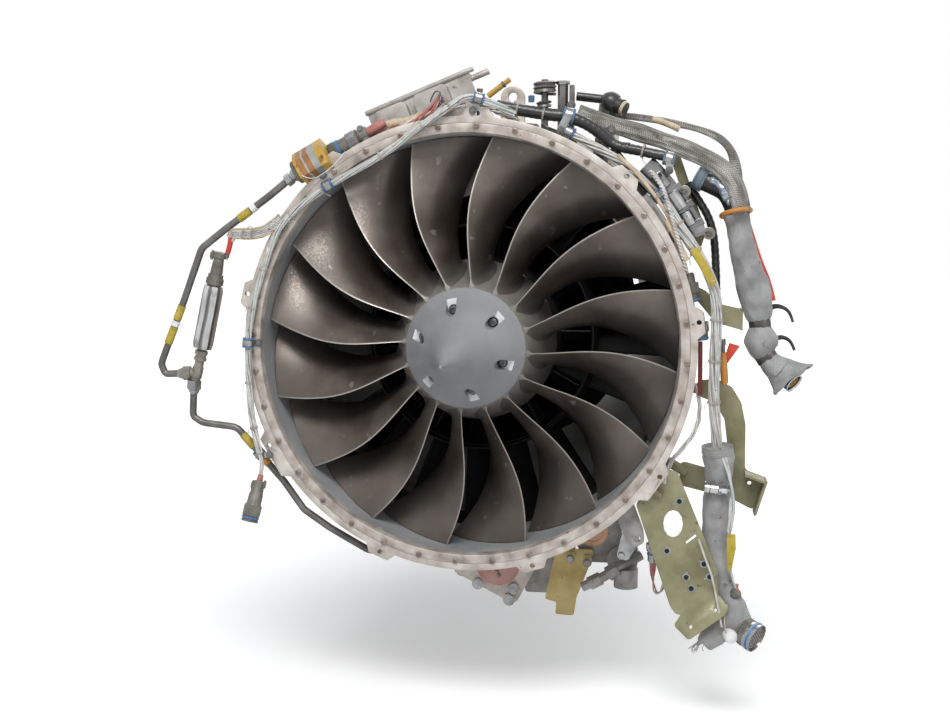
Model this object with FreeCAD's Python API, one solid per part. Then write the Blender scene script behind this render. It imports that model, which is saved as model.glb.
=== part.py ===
import FreeCAD, Part
import math
import os

# Small twin-spool turbofan, hanging without its nacelle. Millimetres and degrees.
# The engine axis is Y, positive towards the tail. X is to the right seen from the front, Z is up.
# The origin is on the axis, in the front face of the inlet flange.
# Clock angles run from +Z towards +X, which is clockwise seen from the front.

V = FreeCAD.Vector
ORIGIN = V(0, 0, 0)
AXIS = V(0, 1, 0)

# --- inlet and fan ---
DUCT_R = 279.0            # inner radius of the duct liner
FLANGE_R = 302.7          # inlet flange, outside
SEAM_R = 293.5            # seam between the inlet flange and the retaining ring
FLANGE_T = 9.0
RING_PROUD = 0.5
RING_DEPTH = 8.0
SCREW_COUNT = 36
SCREW_CIRCLE_R = 290.0
FIRST_CLOCK = 2.87        # clock angle of the first ring screw and of the first lug
LUG_COUNT = 9
LUG_HOLE_CIRCLE_R = 306.0
LUG_HOLE_R = 3.3
LUG_TOP_R = 313.0
LUG_HALF_ANGLE = 2.6      # half width of a lug at its top, in degrees of clock
WIDE_LUGS = {3: (2.0, 6.4), 6: (8.2, 2.4)}   # lug number: half angles before and after its hole
CASE_SEAT_R = 284.3       # liner and stator seat in the case
CASE_WALL_R = 291.0
REAR_FLANGE_R = 304.0
CASE_LENGTH = 166.0

FAN_BLADES = 16
FAN_TIP_R = 277.9
FAN_CLOCK = 6.71          # clock angle of a blade's leading edge at its tip
HUB_FRONT_R = 80.0
HUB_REAR_R = 112.0
HUB_LENGTH = 100.0

SPINNER_R = 79.9
SPINNER_BASE_Y = -2.0
SPINNER_TIP_Y = -193.7
POCKET_COUNT = 6
POCKET_CIRCLE_R = 54.5
POCKET_CLOCK = 47.0
POCKET_HALF_W = 6.8
POCKET_FLOOR_Y = -20.0

# --- stations along the axis ---
SPLITTER_LIP_Y = 132.0
GEAR_Y = 345.0            # tower shaft
INTERMEDIATE_END_Y = 385.0
CORE_END_Y = 770.0
DUCT_JOINT_Y = 830.0
MIXER_LOBES = 12
MIXER_END_Y = 925.0
MIXER_T = 1.8
DUCT_TAPER_Y = 560.0
NOZZLE_END_Y = 985.0
NOZZLE_R = 202.0

# --- radii inside ---
FAN_SHAFT_R = 22.0
FAN_SHAFT_END_Y = 816.0
CORE_SHAFT_R = 30.0
CORE_BEARING_R = 50.0
RUNNING = 0.05            # radial clearance of a running fit
BOOSTER_R = 112.0
BOOSTER_TIP_R = 155.0
SPLITTER_R = 160.0
SPLITTER_OUT_R = 166.0

# --- gear train from the core shaft to the accessory gearbox ---
CORE_BEVEL_TEETH = 20
TOWER_TOP_TEETH = 10
TOWER_FOOT_TEETH = 12
DRIVE_BEVEL_TEETH = 12
DRIVE_TEETH = 12
PUMP_TEETH = 14
CORE_BEVEL_R = 38.0
TOWER_TOP_R = CORE_BEVEL_R * TOWER_TOP_TEETH / CORE_BEVEL_TEETH
TOWER_FOOT_R = 15.0
DRIVE_Z = -332.0
SPUR_MODULE = 3.6
SPUR_Y = 300.0
SPUR_WIDTH = 12.0
SHAFT_START_Y = 262.0      # front ends of the gearbox shafts
TOWER_SHAFT_R = 6.0


def save(name, shape):
    os.makedirs("parts", exist_ok=True)
    shape.exportStep("parts/%s.step" % name)


def fused(shapes):
    result = shapes[0].multiFuse(shapes[1:])
    return result.removeSplitter()


def clocked(shape, angle):
    """A copy turned about the engine axis, clockwise seen from the front."""
    copy = shape.copy()
    copy.rotate(ORIGIN, AXIS, angle)
    return copy


def pattern(shape, count, first=0.0):
    return [clocked(shape, first + i * 360.0 / count) for i in range(count)]


def turned(outline):
    """Solid turned about the engine axis from (y, r) points."""
    points = [V(r, y, 0) for y, r in outline]
    return Part.Face(Part.makePolygon(points + [points[0]])).revolve(ORIGIN, AXIS, 360)


def arc_points(start, middle, end, count):
    """Points of a turned outline, evenly spaced along the arc through three (y, r) points."""
    arc = Part.Arc(V(*start, 0), V(*middle, 0), V(*end, 0)).toShape()
    return [(p.x, p.y) for p in arc.discretize(count)]


def band(r_in, r_out, y_front, y_back):
    return turned([(y_front, r_in), (y_front, r_out), (y_back, r_out), (y_back, r_in)])


def path_edges(points, bend, closed=False):
    """Straight runs joined by tangent arcs. bend is a radius, or a function of (run, turn)."""
    count = len(points)
    corners = range(count) if closed else range(1, count - 1)
    trims = {}
    for i in corners:
        before = points[i] - points[i - 1]
        after = points[(i + 1) % count] - points[i]
        turn = before.getAngle(after)
        run = min(before.Length, after.Length)
        radius = bend(run, turn) if callable(bend) else min(bend, 0.49 * run / math.tan(turn / 2))
        reach = radius * math.tan(turn / 2)
        before.normalize()
        after.normalize()
        inward = after - before
        inward.normalize()
        middle = points[i] + inward * (radius / math.cos(turn / 2) - radius)
        trims[i] = (points[i] - before * reach, middle, points[i] + after * reach)
    edges = []
    for i in range(count if closed else count - 1):
        start = trims[i][2] if i in trims else points[i]
        after = (i + 1) % count
        end = trims[after][0] if after in trims else points[after]
        if (end - start).Length > 1e-4:
            edges.append(Part.LineSegment(start, end).toShape())
        if after in trims:
            edges.append(Part.Arc(*trims[after]).toShape())
    return edges


def vectors(points):
    return [V(*p) for p in points]


def section(centre, direction, across, half_w, half_t, sides):
    """Closed section square to direction: a polygon round an ellipse with these half sizes."""
    side = direction.cross(across)
    side.normalize()
    up = side.cross(direction)
    up.normalize()
    corners = []
    for i in range(sides):
        angle = math.tau * (i + 0.5) / sides
        scale = 1.0 / math.cos(math.pi / sides)
        out = up * (half_w * scale * math.cos(angle)) + side * (half_t * scale * math.sin(angle))
        corners.append(centre + out)
    return Part.makePolygon(corners + [corners[0]])


def tube(points, radius, bend, sides, half_t=None, across=V(0, 1, 0.01)):
    """Tube or flat strap along a route of straight runs and tangent arcs."""
    route = vectors(points)
    path = Part.Wire(path_edges(route, bend))
    first = route[1] - route[0]
    first.normalize()
    profile = section(route[0], first, across, radius, radius if half_t is None else half_t, sides)
    return path.makePipeShell([profile], True, False)


def slack(run, turn):
    """Bend of a free cord: as large as its two runs allow."""
    return 0.45 * run / math.tan(turn / 2)


def rod(start, end, radius, radius_end=None):
    a = V(*start)
    b = V(*end)
    if radius_end is None:
        return Part.makeCylinder(radius, (b - a).Length, a, b - a)
    return Part.makeCone(radius, radius_end, (b - a).Length, a, b - a)


def stepped_rod(start, direction, steps):
    """Coaxial cylinders: steps are (length, radius). One solid."""
    at = V(*start)
    way = V(*direction)
    way.normalize()
    pieces = []
    for length, radius in steps:
        pieces.append(Part.makeCylinder(radius, length, at, way))
        at = at + way * length
    return pieces[0] if len(pieces) == 1 else fused(pieces)


def hexagon(start, end, across_flats):
    a = V(*start)
    b = V(*end)
    way = b - a
    length = way.Length
    way.normalize()
    wire = section(a, way, V(0, 1, 0.01), across_flats / 2, across_flats / 2, 6)
    return Part.Face(wire).extrude(way * length)


def plate(outline, y_front, thickness, corner=2.0):
    """Flat plate across the engine axis, from (x, z) points, with rounded corners."""
    points = [V(x, y_front, z) for x, z in outline]
    wire = Part.Wire(path_edges(points, corner, closed=True))
    return Part.Face(wire).extrude(V(0, thickness, 0))


def prism(outline, y_front, thickness):
    """Plate across the engine axis with sharp corners, from (x, z) points."""
    points = [V(x, y_front, z) for x, z in outline]
    return Part.Face(Part.makePolygon(points + [points[0]])).extrude(V(0, thickness, 0))


def drilled(body, holes, y_front, depth):
    """Holes through a plate, along Y: holes are (x, z, radius)."""
    for x, z, radius in holes:
        body = body.cut(Part.makeCylinder(radius, depth + 2, V(x, y_front - 1, z), AXIS))
    return body


def on_clock(radius, clock, y=0.0):
    angle = math.radians(clock)
    return (radius * math.sin(angle), y, radius * math.cos(angle))


# ---------------------------------------------------------------- inlet

def fan_case():
    body = turned([(0, FLANGE_R), (0, SEAM_R), (RING_DEPTH, SEAM_R), (RING_DEPTH, CASE_SEAT_R),
                   (CASE_LENGTH, CASE_SEAT_R), (CASE_LENGTH, REAR_FLANGE_R), (CASE_LENGTH - 9, REAR_FLANGE_R),
                   (CASE_LENGTH - 9, CASE_WALL_R), (FLANGE_T, CASE_WALL_R), (FLANGE_T, FLANGE_R)])
    lugs = []
    for number in range(LUG_COUNT):
        before, after = WIDE_LUGS.get(number, (LUG_HALF_ANGLE, LUG_HALF_ANGLE))
        corners = [on_clock(298, -before - 2.2), on_clock(LUG_TOP_R, -before), on_clock(LUG_TOP_R, after),
                   on_clock(298, after + 2.2)]
        lug = prism([(x, z) for x, _, z in corners], 0, FLANGE_T)
        hole = Part.makeCylinder(LUG_HOLE_R, FLANGE_T + 2, V(0, -1, LUG_HOLE_CIRCLE_R), AXIS)
        lugs.append(clocked(lug.cut(hole), FIRST_CLOCK + number * 360.0 / LUG_COUNT))
    return fused([body] + lugs)


def inlet_retaining_ring():
    """Ring with a bevelled lip that funnels into the duct."""
    outer = SEAM_R - 0.3
    return turned([(-RING_PROUD, outer), (-RING_PROUD, DUCT_R + 2.6), (RING_DEPTH, DUCT_R),
                   (RING_DEPTH, outer)])


def ring_screws():
    head = hexagon((0, -RING_PROUD, SCREW_CIRCLE_R), (0, -RING_PROUD - 1.4, SCREW_CIRCLE_R), 6.4)
    return Part.makeCompound(pattern(head, SCREW_COUNT, FIRST_CLOCK))


def fan_liner():
    return turned([(RING_DEPTH, DUCT_R), (RING_DEPTH, CASE_SEAT_R), (150, CASE_SEAT_R), (150, DUCT_R)])


# ---------------------------------------------------------------- fan

# One row for each radius: radius, leading edge (clock, y), trailing edge (clock, y), camber, thickness.
# Clocks are counted from the leading edge's tip, so the blade's bow and sweep read off the rows.
BLADE_ROWS = [
    (74, -1.8, 4.0, 4.8, 90.0, 46, 8.0),
    (110, -4.3, -1.0, 4.9, 89.0, 46, 7.0),
    (150, -6.0, -0.6, 6.7, 86.0, 42, 5.8),
    (190, -5.6, 8.3, 10.5, 83.5, 34, 4.8),
    (232, -3.3, 22.0, 16.3, 83.0, 20, 3.8),
    (285, 0.6, 36.5, 24.9, 84.0, 6, 2.8),
]
EDGE_T = 0.9              # thickness of the leading and trailing edges


def blade_section(radius, le_clock, le_y, te_clock, te_y, camber, thickness):
    """Cambered section, flat, square to the radius through the middle of the chord."""
    middle = math.radians((le_clock + te_clock) / 2)
    out = V(math.sin(middle), 0, math.cos(middle))
    sideways = V(math.cos(middle), 0, -math.sin(middle))
    half = math.radians((te_clock - le_clock) / 2)
    reach = radius * math.tan(half)
    chord_s = 2 * reach
    chord_y = te_y - le_y
    chord = math.hypot(chord_s, chord_y)
    bulge = chord / 2 * math.tan(math.radians(camber) / 4)
    normal = (chord_y / chord, -chord_s / chord)

    def at(share, lift):
        s = -reach + share * chord_s + normal[0] * lift
        y = le_y + share * chord_y + normal[1] * lift
        return out * radius + sideways * s + AXIS * y

    edge = EDGE_T / 2
    over = Part.Arc(at(0, edge), at(0.45, bulge + thickness / 2), at(1, edge)).toShape()
    tail = Part.LineSegment(at(1, edge), at(1, -edge)).toShape()
    under = Part.Arc(at(1, -edge), at(0.45, bulge - thickness / 2), at(0, -edge)).toShape()
    nose = Part.LineSegment(at(0, -edge), at(0, edge)).toShape()
    return Part.Wire([over, tail, under, nose])


def fan_rotor():
    """One-piece bladed disc. The blades are lofted through their sections and cut to the tip radius."""
    blade = Part.makeLoft([blade_section(*row) for row in BLADE_ROWS], True, False)
    swept_space = turned([(-20, 60), (-20, FAN_TIP_R), (120, FAN_TIP_R), (120, 90)])
    blade = blade.common(swept_space)
    hub = turned([(SPINNER_BASE_Y, FAN_SHAFT_R), (SPINNER_BASE_Y, HUB_FRONT_R), (42, 99),
                  (HUB_LENGTH, HUB_REAR_R), (HUB_LENGTH, 98), (62, 86), (62, FAN_SHAFT_R)])
    return hub.multiFuse(pattern(blade, FAN_BLADES, FAN_CLOCK))


def spinner():
    """Long cone with a slightly hollow flank, and a flat-floored pocket for each screw."""
    flank = arc_points((SPINNER_BASE_Y, SPINNER_R), (-45, 54.5), (SPINNER_TIP_Y, 1.2), 5)
    body = turned(flank + [(SPINNER_TIP_Y, 0), (SPINNER_BASE_Y, 0)])
    floor = [(-POCKET_HALF_W, 95), (-POCKET_HALF_W, POCKET_CIRCLE_R - POCKET_HALF_W),
             (POCKET_HALF_W, POCKET_CIRCLE_R - POCKET_HALF_W), (POCKET_HALF_W, 95)]
    pocket = plate(floor, -80, 80 + POCKET_FLOOR_Y, POCKET_HALF_W * 0.95)
    for cutter in pattern(pocket, POCKET_COUNT, POCKET_CLOCK):
        body = body.cut(cutter)
    return body


def spinner_screws():
    head = Part.makeCylinder(5, 8, V(0, POCKET_FLOOR_Y - 8, POCKET_CIRCLE_R), AXIS)
    socket = hexagon((0, POCKET_FLOOR_Y - 9, POCKET_CIRCLE_R), (0, POCKET_FLOOR_Y - 4, POCKET_CIRCLE_R), 5)
    return Part.makeCompound(pattern(head.cut(socket), POCKET_COUNT, POCKET_CLOCK))


# ---------------------------------------------------------------- spools

def vane(r_in, r_out, y_middle, chord, thickness, stagger):
    """Flat radial blade at the top of its row, set at an angle to the axis."""
    body = Part.makeBox(thickness, chord, r_out - r_in, V(-thickness / 2, -chord / 2, r_in))
    body.rotate(ORIGIN, V(0, 0, 1), stagger)
    body.translate(V(0, y_middle, 0))
    return body


def fan_shaft():
    return turned([(0, 14), (0, FAN_SHAFT_R), (FAN_SHAFT_END_Y, FAN_SHAFT_R), (FAN_SHAFT_END_Y, 14)])


def booster_rotor():
    """Drum with two rows of blades, carried by a disc on the fan shaft."""
    drum = turned([(104, 104), (104, BOOSTER_R), (280, BOOSTER_R), (280, 104), (156, 104),
                   (156, FAN_SHAFT_R), (144, FAN_SHAFT_R), (144, 104)])
    blades = []
    for y in (172, 232):
        blades += pattern(vane(BOOSTER_R - 2, BOOSTER_TIP_R, y, 24, 3, -38), 12)
    return drum.multiFuse(blades)


def booster_stator():
    case = band(157.5, SPLITTER_R, 150, 284)
    vanes = []
    for y in (202, 262):
        vanes += pattern(vane(BOOSTER_R + 1.5, 158.5, y, 20, 3, 24), 10, 7)
    return case.multiFuse(vanes)


def bevel_gear(teeth, pitch_r, apex_d, bore_r, front, first):
    """Straight bevel gear about Z. Its apex is the origin, its back is at z = apex_d, and its small end is
    at the share front of the way from the apex."""
    module = 2 * pitch_r / teeth
    slope = math.atan2(pitch_r, apex_d)

    def at(height, clock, scale):
        radius = (pitch_r + height * math.cos(slope)) * scale
        z = (apex_d - height * math.sin(slope)) * scale
        return V(radius * math.cos(clock), radius * math.sin(clock), z)

    root = -1.25 * module
    foot = at(root, 0, 1)
    nose = at(root, 0, front)
    rim = [V(bore_r, 0, nose.z), nose, foot, V(foot.x, 0, foot.z + 1), V(bore_r, 0, foot.z + 1)]
    body = Part.Face(Part.makePolygon(rim + [rim[0]])).revolve(ORIGIN, V(0, 0, 1), 360)
    half = math.pi / teeth / 2
    bodies = [body]
    for i in range(teeth):
        clock = math.radians(first) + i * math.tau / teeth
        wires = []
        for scale in (front, 1.0):
            corners = []
            for height, share in ((-1.75, -1.2), (0.85, -0.4), (0.85, 0.4), (-1.75, 1.2)):
                corners.append(at(height * module, clock + half * share, scale))
            wires.append(Part.makePolygon(corners + [corners[0]]))
        bodies.append(Part.makeLoft(wires, True, True))
    return bodies[0].multiFuse(bodies[1:])


def spur_gear(teeth, width, first):
    """Spur gear about Z with straight-flanked teeth, from z = 0."""
    pitch_r = SPUR_MODULE * teeth / 2
    half = math.pi / teeth / 2
    corners = []
    for i in range(teeth):
        clock = math.radians(first) + i * math.tau / teeth
        for height, share in ((-1.25, -1.2), (0.85, -0.4), (0.85, 0.4), (-1.25, 1.2)):
            radius = pitch_r + height * SPUR_MODULE
            corners.append(V(radius * math.cos(clock + share * half),
                             radius * math.sin(clock + share * half), 0))
    return Part.Face(Part.makePolygon(corners + [corners[0]])).extrude(V(0, 0, width))


def core_shaft():
    """core shaft with the bevel gear that drives the tower shaft, cut in one piece."""
    shaft = band(26, CORE_SHAFT_R, 330, 680)
    gear = bevel_gear(CORE_BEVEL_TEETH, CORE_BEVEL_R, TOWER_TOP_R, CORE_SHAFT_R - 1, 0.84, 90)
    gear.rotate(ORIGIN, V(1, 0, 0), -90)
    gear.translate(V(0, GEAR_Y, 0))
    return shaft.multiFuse([gear])


def impeller():
    """Centrifugal compressor wheel: turned hub and twelve blades."""
    hub = turned([(394, CORE_SHAFT_R), (394, 38), (444, 64), (462, 150), (468, 150), (474, 56), (486, 44),
                  (486, CORE_SHAFT_R)])
    outline = [(397, 34), (397, 94), (436, 112), (454, 149.5), (464, 149.5), (448, 62)]
    points = [V(-1.2, y, r) for y, r in outline]
    blade = Part.Face(Part.makePolygon(points + [points[0]])).extrude(V(2.4, 0, 0))
    return hub.multiFuse(pattern(blade, 12))


def turbine_wheel(y_front, width, disc_r, tip_r, blades, bore_r):
    disc = band(bore_r, disc_r, y_front, y_front + width)
    blade = vane(disc_r - 2, tip_r, y_front + width / 2, width - 4, 3, -30)
    return disc.multiFuse(pattern(blade, blades))


def core_turbine():
    return turbine_wheel(646, 24, 100, 142, 14, CORE_SHAFT_R)


def fan_turbine():
    """Drum with two rows of blades, carried by a disc on the fan shaft."""
    drum = turned([(697, 92), (697, 100), (765, 100), (765, FAN_SHAFT_R), (753, FAN_SHAFT_R), (753, 92)])
    blades = pattern(vane(98, 154, 707, 16, 3, -30), 12) + pattern(vane(98, 168, 755, 16, 3, -30), 12)
    return drum.multiFuse(blades)


# ---------------------------------------------------------------- static inside

def bypass_stator():
    """Outer ring with fixed vanes that reach in to the splitter."""
    ring = band(DUCT_R + 1, CASE_SEAT_R, 152, 226)
    vanes = pattern(vane(SPLITTER_OUT_R, DUCT_R + 2, 189, 62, 4, 22), 20, 3)
    stator = ring.multiFuse(vanes)
    return stator.cut(band(100, SPLITTER_OUT_R, 140, 240))


def intermediate_case():
    """Front frame: outer duct wall, splitter, eight struts and the bearing housing, cast in one."""
    wall = turned([(CASE_LENGTH, CASE_SEAT_R), (CASE_LENGTH, REAR_FLANGE_R),
                   (CASE_LENGTH + 8, REAR_FLANGE_R),
                   (CASE_LENGTH + 8, CASE_WALL_R), (INTERMEDIATE_END_Y - 8, CASE_WALL_R),
                   (INTERMEDIATE_END_Y - 8, REAR_FLANGE_R), (INTERMEDIATE_END_Y, REAR_FLANGE_R),
                   (INTERMEDIATE_END_Y, CASE_SEAT_R)])
    splitter = turned([(SPLITTER_LIP_Y, SPLITTER_R + 1), (150, SPLITTER_OUT_R),
                       (INTERMEDIATE_END_Y, SPLITTER_OUT_R),
                       (INTERMEDIATE_END_Y, SPLITTER_R), (SPLITTER_LIP_Y, SPLITTER_R)])
    hub = turned([(218, 42), (218, 56), (300, 80), (384, 80), (384, CORE_BEARING_R),
                  (244, CORE_BEARING_R), (244, 42)])
    frame = fused([wall, splitter, hub] + pattern(strut(70, CASE_SEAT_R + 2, 300, 378, 20), 8))
    bore = Part.makeCylinder(TOWER_SHAFT_R + RUNNING, 320, V(0, GEAR_Y, 0), V(0, 0, -1))
    return frame.cut(bore)


def strut(r_in, r_out, y_front, y_back, width):
    """Streamlined strut along Z, pointed at its nose and thin at its tail."""
    half = width / 2
    middle = y_front + (y_back - y_front) * 0.35
    points = [V(0, y_front, r_in), V(half, middle, r_in), V(1.5, y_back, r_in), V(-1.5, y_back, r_in),
              V(-half, middle, r_in)]
    return Part.Face(Part.makePolygon(points + [points[0]])).extrude(V(0, 0, r_out - r_in))


def bearings():
    races = [
        band(FAN_SHAFT_R + RUNNING, 42, 220, 240),
        band(CORE_SHAFT_R + RUNNING, CORE_BEARING_R, 370, 384),
        band(CORE_SHAFT_R + RUNNING, 48, 622, 634),
        band(FAN_SHAFT_R + RUNNING, 44, 796, 812),
    ]
    return Part.makeCompound(races)


def diffuser_case():
    """Impeller shroud and radial diffuser with its vanes, in one casting."""
    shroud = turned([(388, 97), (434, 115), (454, 152), (454, 203.8), (450, 203.8), (450, 156), (431, 119),
                     (388, 101)])
    vanes = []
    for i in range(10):
        piece = Part.makeBox(3, 12, 40, V(-1.5, 453, 157))
        piece.rotate(V(0, 0, 157), AXIS, 35)
        vanes.append(clocked(piece, i * 36.0))
    return fused([shroud] + vanes)


def core_case():
    inner = [(INTERMEDIATE_END_Y, SPLITTER_R), (448, 204), (600, 204), (650, 182), (CORE_END_Y, 182)]
    outer = [(INTERMEDIATE_END_Y, SPLITTER_OUT_R), (448, 208), (600, 208), (650, 186), (CORE_END_Y, 186)]
    return turned(outer + inner[::-1])


def combustor_liner():
    """Thin annular can, open towards the turbine."""
    return turned([(618, 186), (494, 186), (494, 92), (618, 92), (618, 94), (496, 94), (496, 184),
                   (618, 184)])


def turbine_nozzles():
    """Three fixed vane rings, one ahead of each turbine wheel. The first carries the core rear bearing."""
    rings = []
    for y_front, r_in, r_out, case_r in ((622, 92, 146, 181.9), (674, 101, 158, 182), (725, 101, 172, 182)):
        outer = band(r_out, case_r, y_front + 3, y_front + 15)
        vanes = pattern(vane(r_in, r_out + 2, y_front + 9, 12, 3, 30), 8)
        rings.append(fused([outer] + vanes))
    rings[0] = fused([rings[0], band(48, 94, 622, 640)])
    return Part.makeCompound(rings)


def exhaust_case():
    """Rear frame: outer ring, six struts and the rear bearing housing."""
    outer = band(178, 184, CORE_END_Y, DUCT_JOINT_Y)
    hub = turned([(792, 44), (792, 95), (DUCT_JOINT_Y, 95), (DUCT_JOINT_Y, 86), (812, 86), (812, 44)])
    return fused([outer, hub] + pattern(strut(90, 180, 794, 826, 10), 6))


def bypass_duct():
    """Outer duct and final nozzle, one welded shell with a flange at the front."""
    return turned([(INTERMEDIATE_END_Y, CASE_SEAT_R), (INTERMEDIATE_END_Y, REAR_FLANGE_R),
                   (INTERMEDIATE_END_Y + 6, REAR_FLANGE_R), (INTERMEDIATE_END_Y + 6, CASE_SEAT_R + 3),
                   (DUCT_TAPER_Y, CASE_SEAT_R + 3), (NOZZLE_END_Y, NOZZLE_R + 3), (NOZZLE_END_Y, NOZZLE_R),
                   (DUCT_TAPER_Y, CASE_SEAT_R)])


def exhaust_mixer():
    """Folded sheet: round at the front, with deep lobes at the back. Each fold is flat."""
    def ring(y, inner, outer):
        corners = []
        for i in range(MIXER_LOBES * 2):
            radius = outer if i % 2 else inner
            for side in (-0.27, 0.27):
                angle = math.pi * (i + side) / MIXER_LOBES
                corners.append(V(radius * math.sin(angle), y, radius * math.cos(angle)))
        return corners

    front_out = ring(DUCT_JOINT_Y, 184, 184)
    back_out = ring(MIXER_END_Y, 142, 212)
    front_in = ring(DUCT_JOINT_Y, 184 - MIXER_T, 184 - MIXER_T)
    back_in = ring(MIXER_END_Y, 142 - MIXER_T, 212 - MIXER_T)
    faces = []
    count = len(front_out)
    for i in range(count):
        j = (i + 1) % count
        for a, b, c, d in ((front_out[i], front_out[j], back_out[j], back_out[i]),
                           (front_in[i], front_in[j], back_in[j], back_in[i]),
                           (front_out[i], front_out[j], front_in[j], front_in[i]),
                           (back_out[i], back_out[j], back_in[j], back_in[i])):
            faces.append(Part.Face(Part.makePolygon([a, b, c, a])))
            faces.append(Part.Face(Part.makePolygon([a, c, d, a])))
    return Part.Solid(Part.Shell(faces))


def tail_cone():
    return turned([(DUCT_JOINT_Y, 0), (DUCT_JOINT_Y, 95), (900, 76), (950, 42), (978, 0)])


# ---------------------------------------------------------------- gear train and accessories

def tower_shaft():
    """Radial shaft with a bevel pinion at each end, turning about Z."""
    top = bevel_gear(TOWER_TOP_TEETH, TOWER_TOP_R, CORE_BEVEL_R, TOWER_SHAFT_R - 1, 0.84,
                     90 + 180.0 / TOWER_TOP_TEETH)
    top.rotate(ORIGIN, V(0, 1, 0), 180)
    foot = bevel_gear(TOWER_FOOT_TEETH, TOWER_FOOT_R, TOWER_FOOT_R, TOWER_SHAFT_R - 1, 0.7, 90)
    foot.translate(V(0, 0, DRIVE_Z))
    shaft = Part.makeCylinder(TOWER_SHAFT_R, -DRIVE_Z - 14 - 32, V(0, 0, DRIVE_Z + 14), V(0, 0, 1))
    body = shaft.multiFuse([top, foot])
    body.translate(V(0, GEAR_Y, 0))
    return body


def drive_gear():
    """Lay shaft of the gearbox: bevel gear and spur gear in one piece, turning about Y."""
    bevel = bevel_gear(DRIVE_BEVEL_TEETH, TOWER_FOOT_R, TOWER_FOOT_R, 5, 0.7,
                       90 + 180.0 / DRIVE_BEVEL_TEETH)
    bevel.rotate(ORIGIN, V(1, 0, 0), 90)
    bevel.translate(V(0, GEAR_Y, DRIVE_Z))
    spur = spur_gear(DRIVE_TEETH, SPUR_WIDTH, 0)
    spur.rotate(ORIGIN, V(1, 0, 0), -90)
    spur.translate(V(0, SPUR_Y, DRIVE_Z))
    shaft = Part.makeCylinder(6, GEAR_Y - 13 - SHAFT_START_Y, V(0, SHAFT_START_Y, DRIVE_Z), AXIS)
    return shaft.multiFuse([bevel, spur])


PUMP_X = SPUR_MODULE * (DRIVE_TEETH + PUMP_TEETH) / 2


def pump_gear():
    spur = spur_gear(PUMP_TEETH, SPUR_WIDTH, 180 + 180.0 / PUMP_TEETH)
    spur.rotate(ORIGIN, V(1, 0, 0), -90)
    spur.translate(V(PUMP_X, SPUR_Y, DRIVE_Z))
    shaft = Part.makeCylinder(6, 62, V(PUMP_X, SHAFT_START_Y, DRIVE_Z), AXIS)
    return shaft.multiFuse([spur])


def gearbox_pad():
    """Pad and neck of the gearbox that the fuel control is bolted to."""
    pad = plate([(118, -262), (136, -300), (150, -318), (200, -306), (206, -262)], 150, 6, 6)
    return pad.fuse(Part.makeCylinder(30, 60, V(162, 150, -281), AXIS))


def accessory_gearbox():
    """Cast housing that hangs from the intermediate case, with a drive pad and a stepped boss in front."""
    body = plate([(-62, -255), (-62, -330), (-40, -366), (88, -372), (128, -344), (150, -255)],
                 182, 184, 10)
    boss = plate([(60, -300), (60, -387), (103, -387), (103, -300)], 186, 30, 5)
    body = fused([body, boss, gearbox_pad()])
    envelope = turned([(100, 0), (100, REAR_FLANGE_R), (CASE_LENGTH + 8, REAR_FLANGE_R),
                       (CASE_LENGTH + 8, CASE_WALL_R), (INTERMEDIATE_END_Y - 8, CASE_WALL_R),
                       (INTERMEDIATE_END_Y - 8, 0)])
    cavity = Part.makeBox(112, 88, 68, V(-30, 276, -364))
    tools = [envelope, cavity]
    for x in (0, PUMP_X):
        tools.append(Part.makeCylinder(6 + RUNNING, 30, V(x, SHAFT_START_Y - 1, DRIVE_Z), AXIS))
    tools.append(Part.makeCylinder(TOWER_SHAFT_R + RUNNING, 60, V(0, GEAR_Y, -310), V(0, 0, 1)))
    for tool in tools:
        body = body.cut(tool)
    return max(body.Solids, key=lambda s: s.Volume)


LEVER_PIVOT = (218, 96, -274)


def fuel_pump():
    """Fuel control: polished drum with its elbow hose, and the boss that the lever turns on."""
    drum = Part.makeCylinder(17, 27, V(211, 120, -352))
    neck = rod((211, 126, -336), (209, 150, -332), 9)
    body = Part.makeCylinder(22, 50, V(205, 146, -322), V(0, 1, 0))
    link = Part.makeBox(60, 22, 40, V(150, 160, -330))
    boss = Part.makeCylinder(7, 54, V(LEVER_PIVOT[0], 106, LEVER_PIVOT[2]), AXIS)
    web = Part.makeBox(18, 30, 40, V(208, 130, -310))
    hose = tube([(150, 112, -353), (168, 112, -344), (186, 112, -333), (206, 114, -320),
                 (232, 126, -307)], 6.5, 20, 8)
    nut_a = hexagon((160, 112, -348), (176, 112, -339), 17)
    nut_b = hexagon((186, 112, -333), (200, 113, -324), 19)
    return fused([drum, neck, body, link, boss, web, hose, nut_a, nut_b]).cut(gearbox_pad())


def power_lever():
    """Control lever with a bolt, on the fuel control's boss."""
    arm = plate([(208, -262), (226, -262), (230, -280), (214, -308), (198, -304), (202, -284)], 96, 9.9, 6)
    bolt = hexagon((LEVER_PIVOT[0], 88, LEVER_PIVOT[2]), (LEVER_PIVOT[0], 96, LEVER_PIVOT[2]), 13)
    grip = hexagon((205, 90, -300), (205, 96, -300), 9)
    return fused([arm, bolt, grip])


def support_arm():
    """Cast arm behind the flange with a plain eye at its foot."""
    arm = plate([(196, -219), (219, -200), (236, -246), (238, -262), (226, -270), (214, -262)], 28, 10, 7)
    arm = drilled(arm, [(228, -258, 4.5)], 28, 10)
    foot = plate([(196, -219), (219, -200), (222, -208), (202, -228)], 28, 60, 2)
    body = arm.fuse(foot)
    return body.cut(band(200, CASE_WALL_R, 24, 120)).Solids[0]


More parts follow.
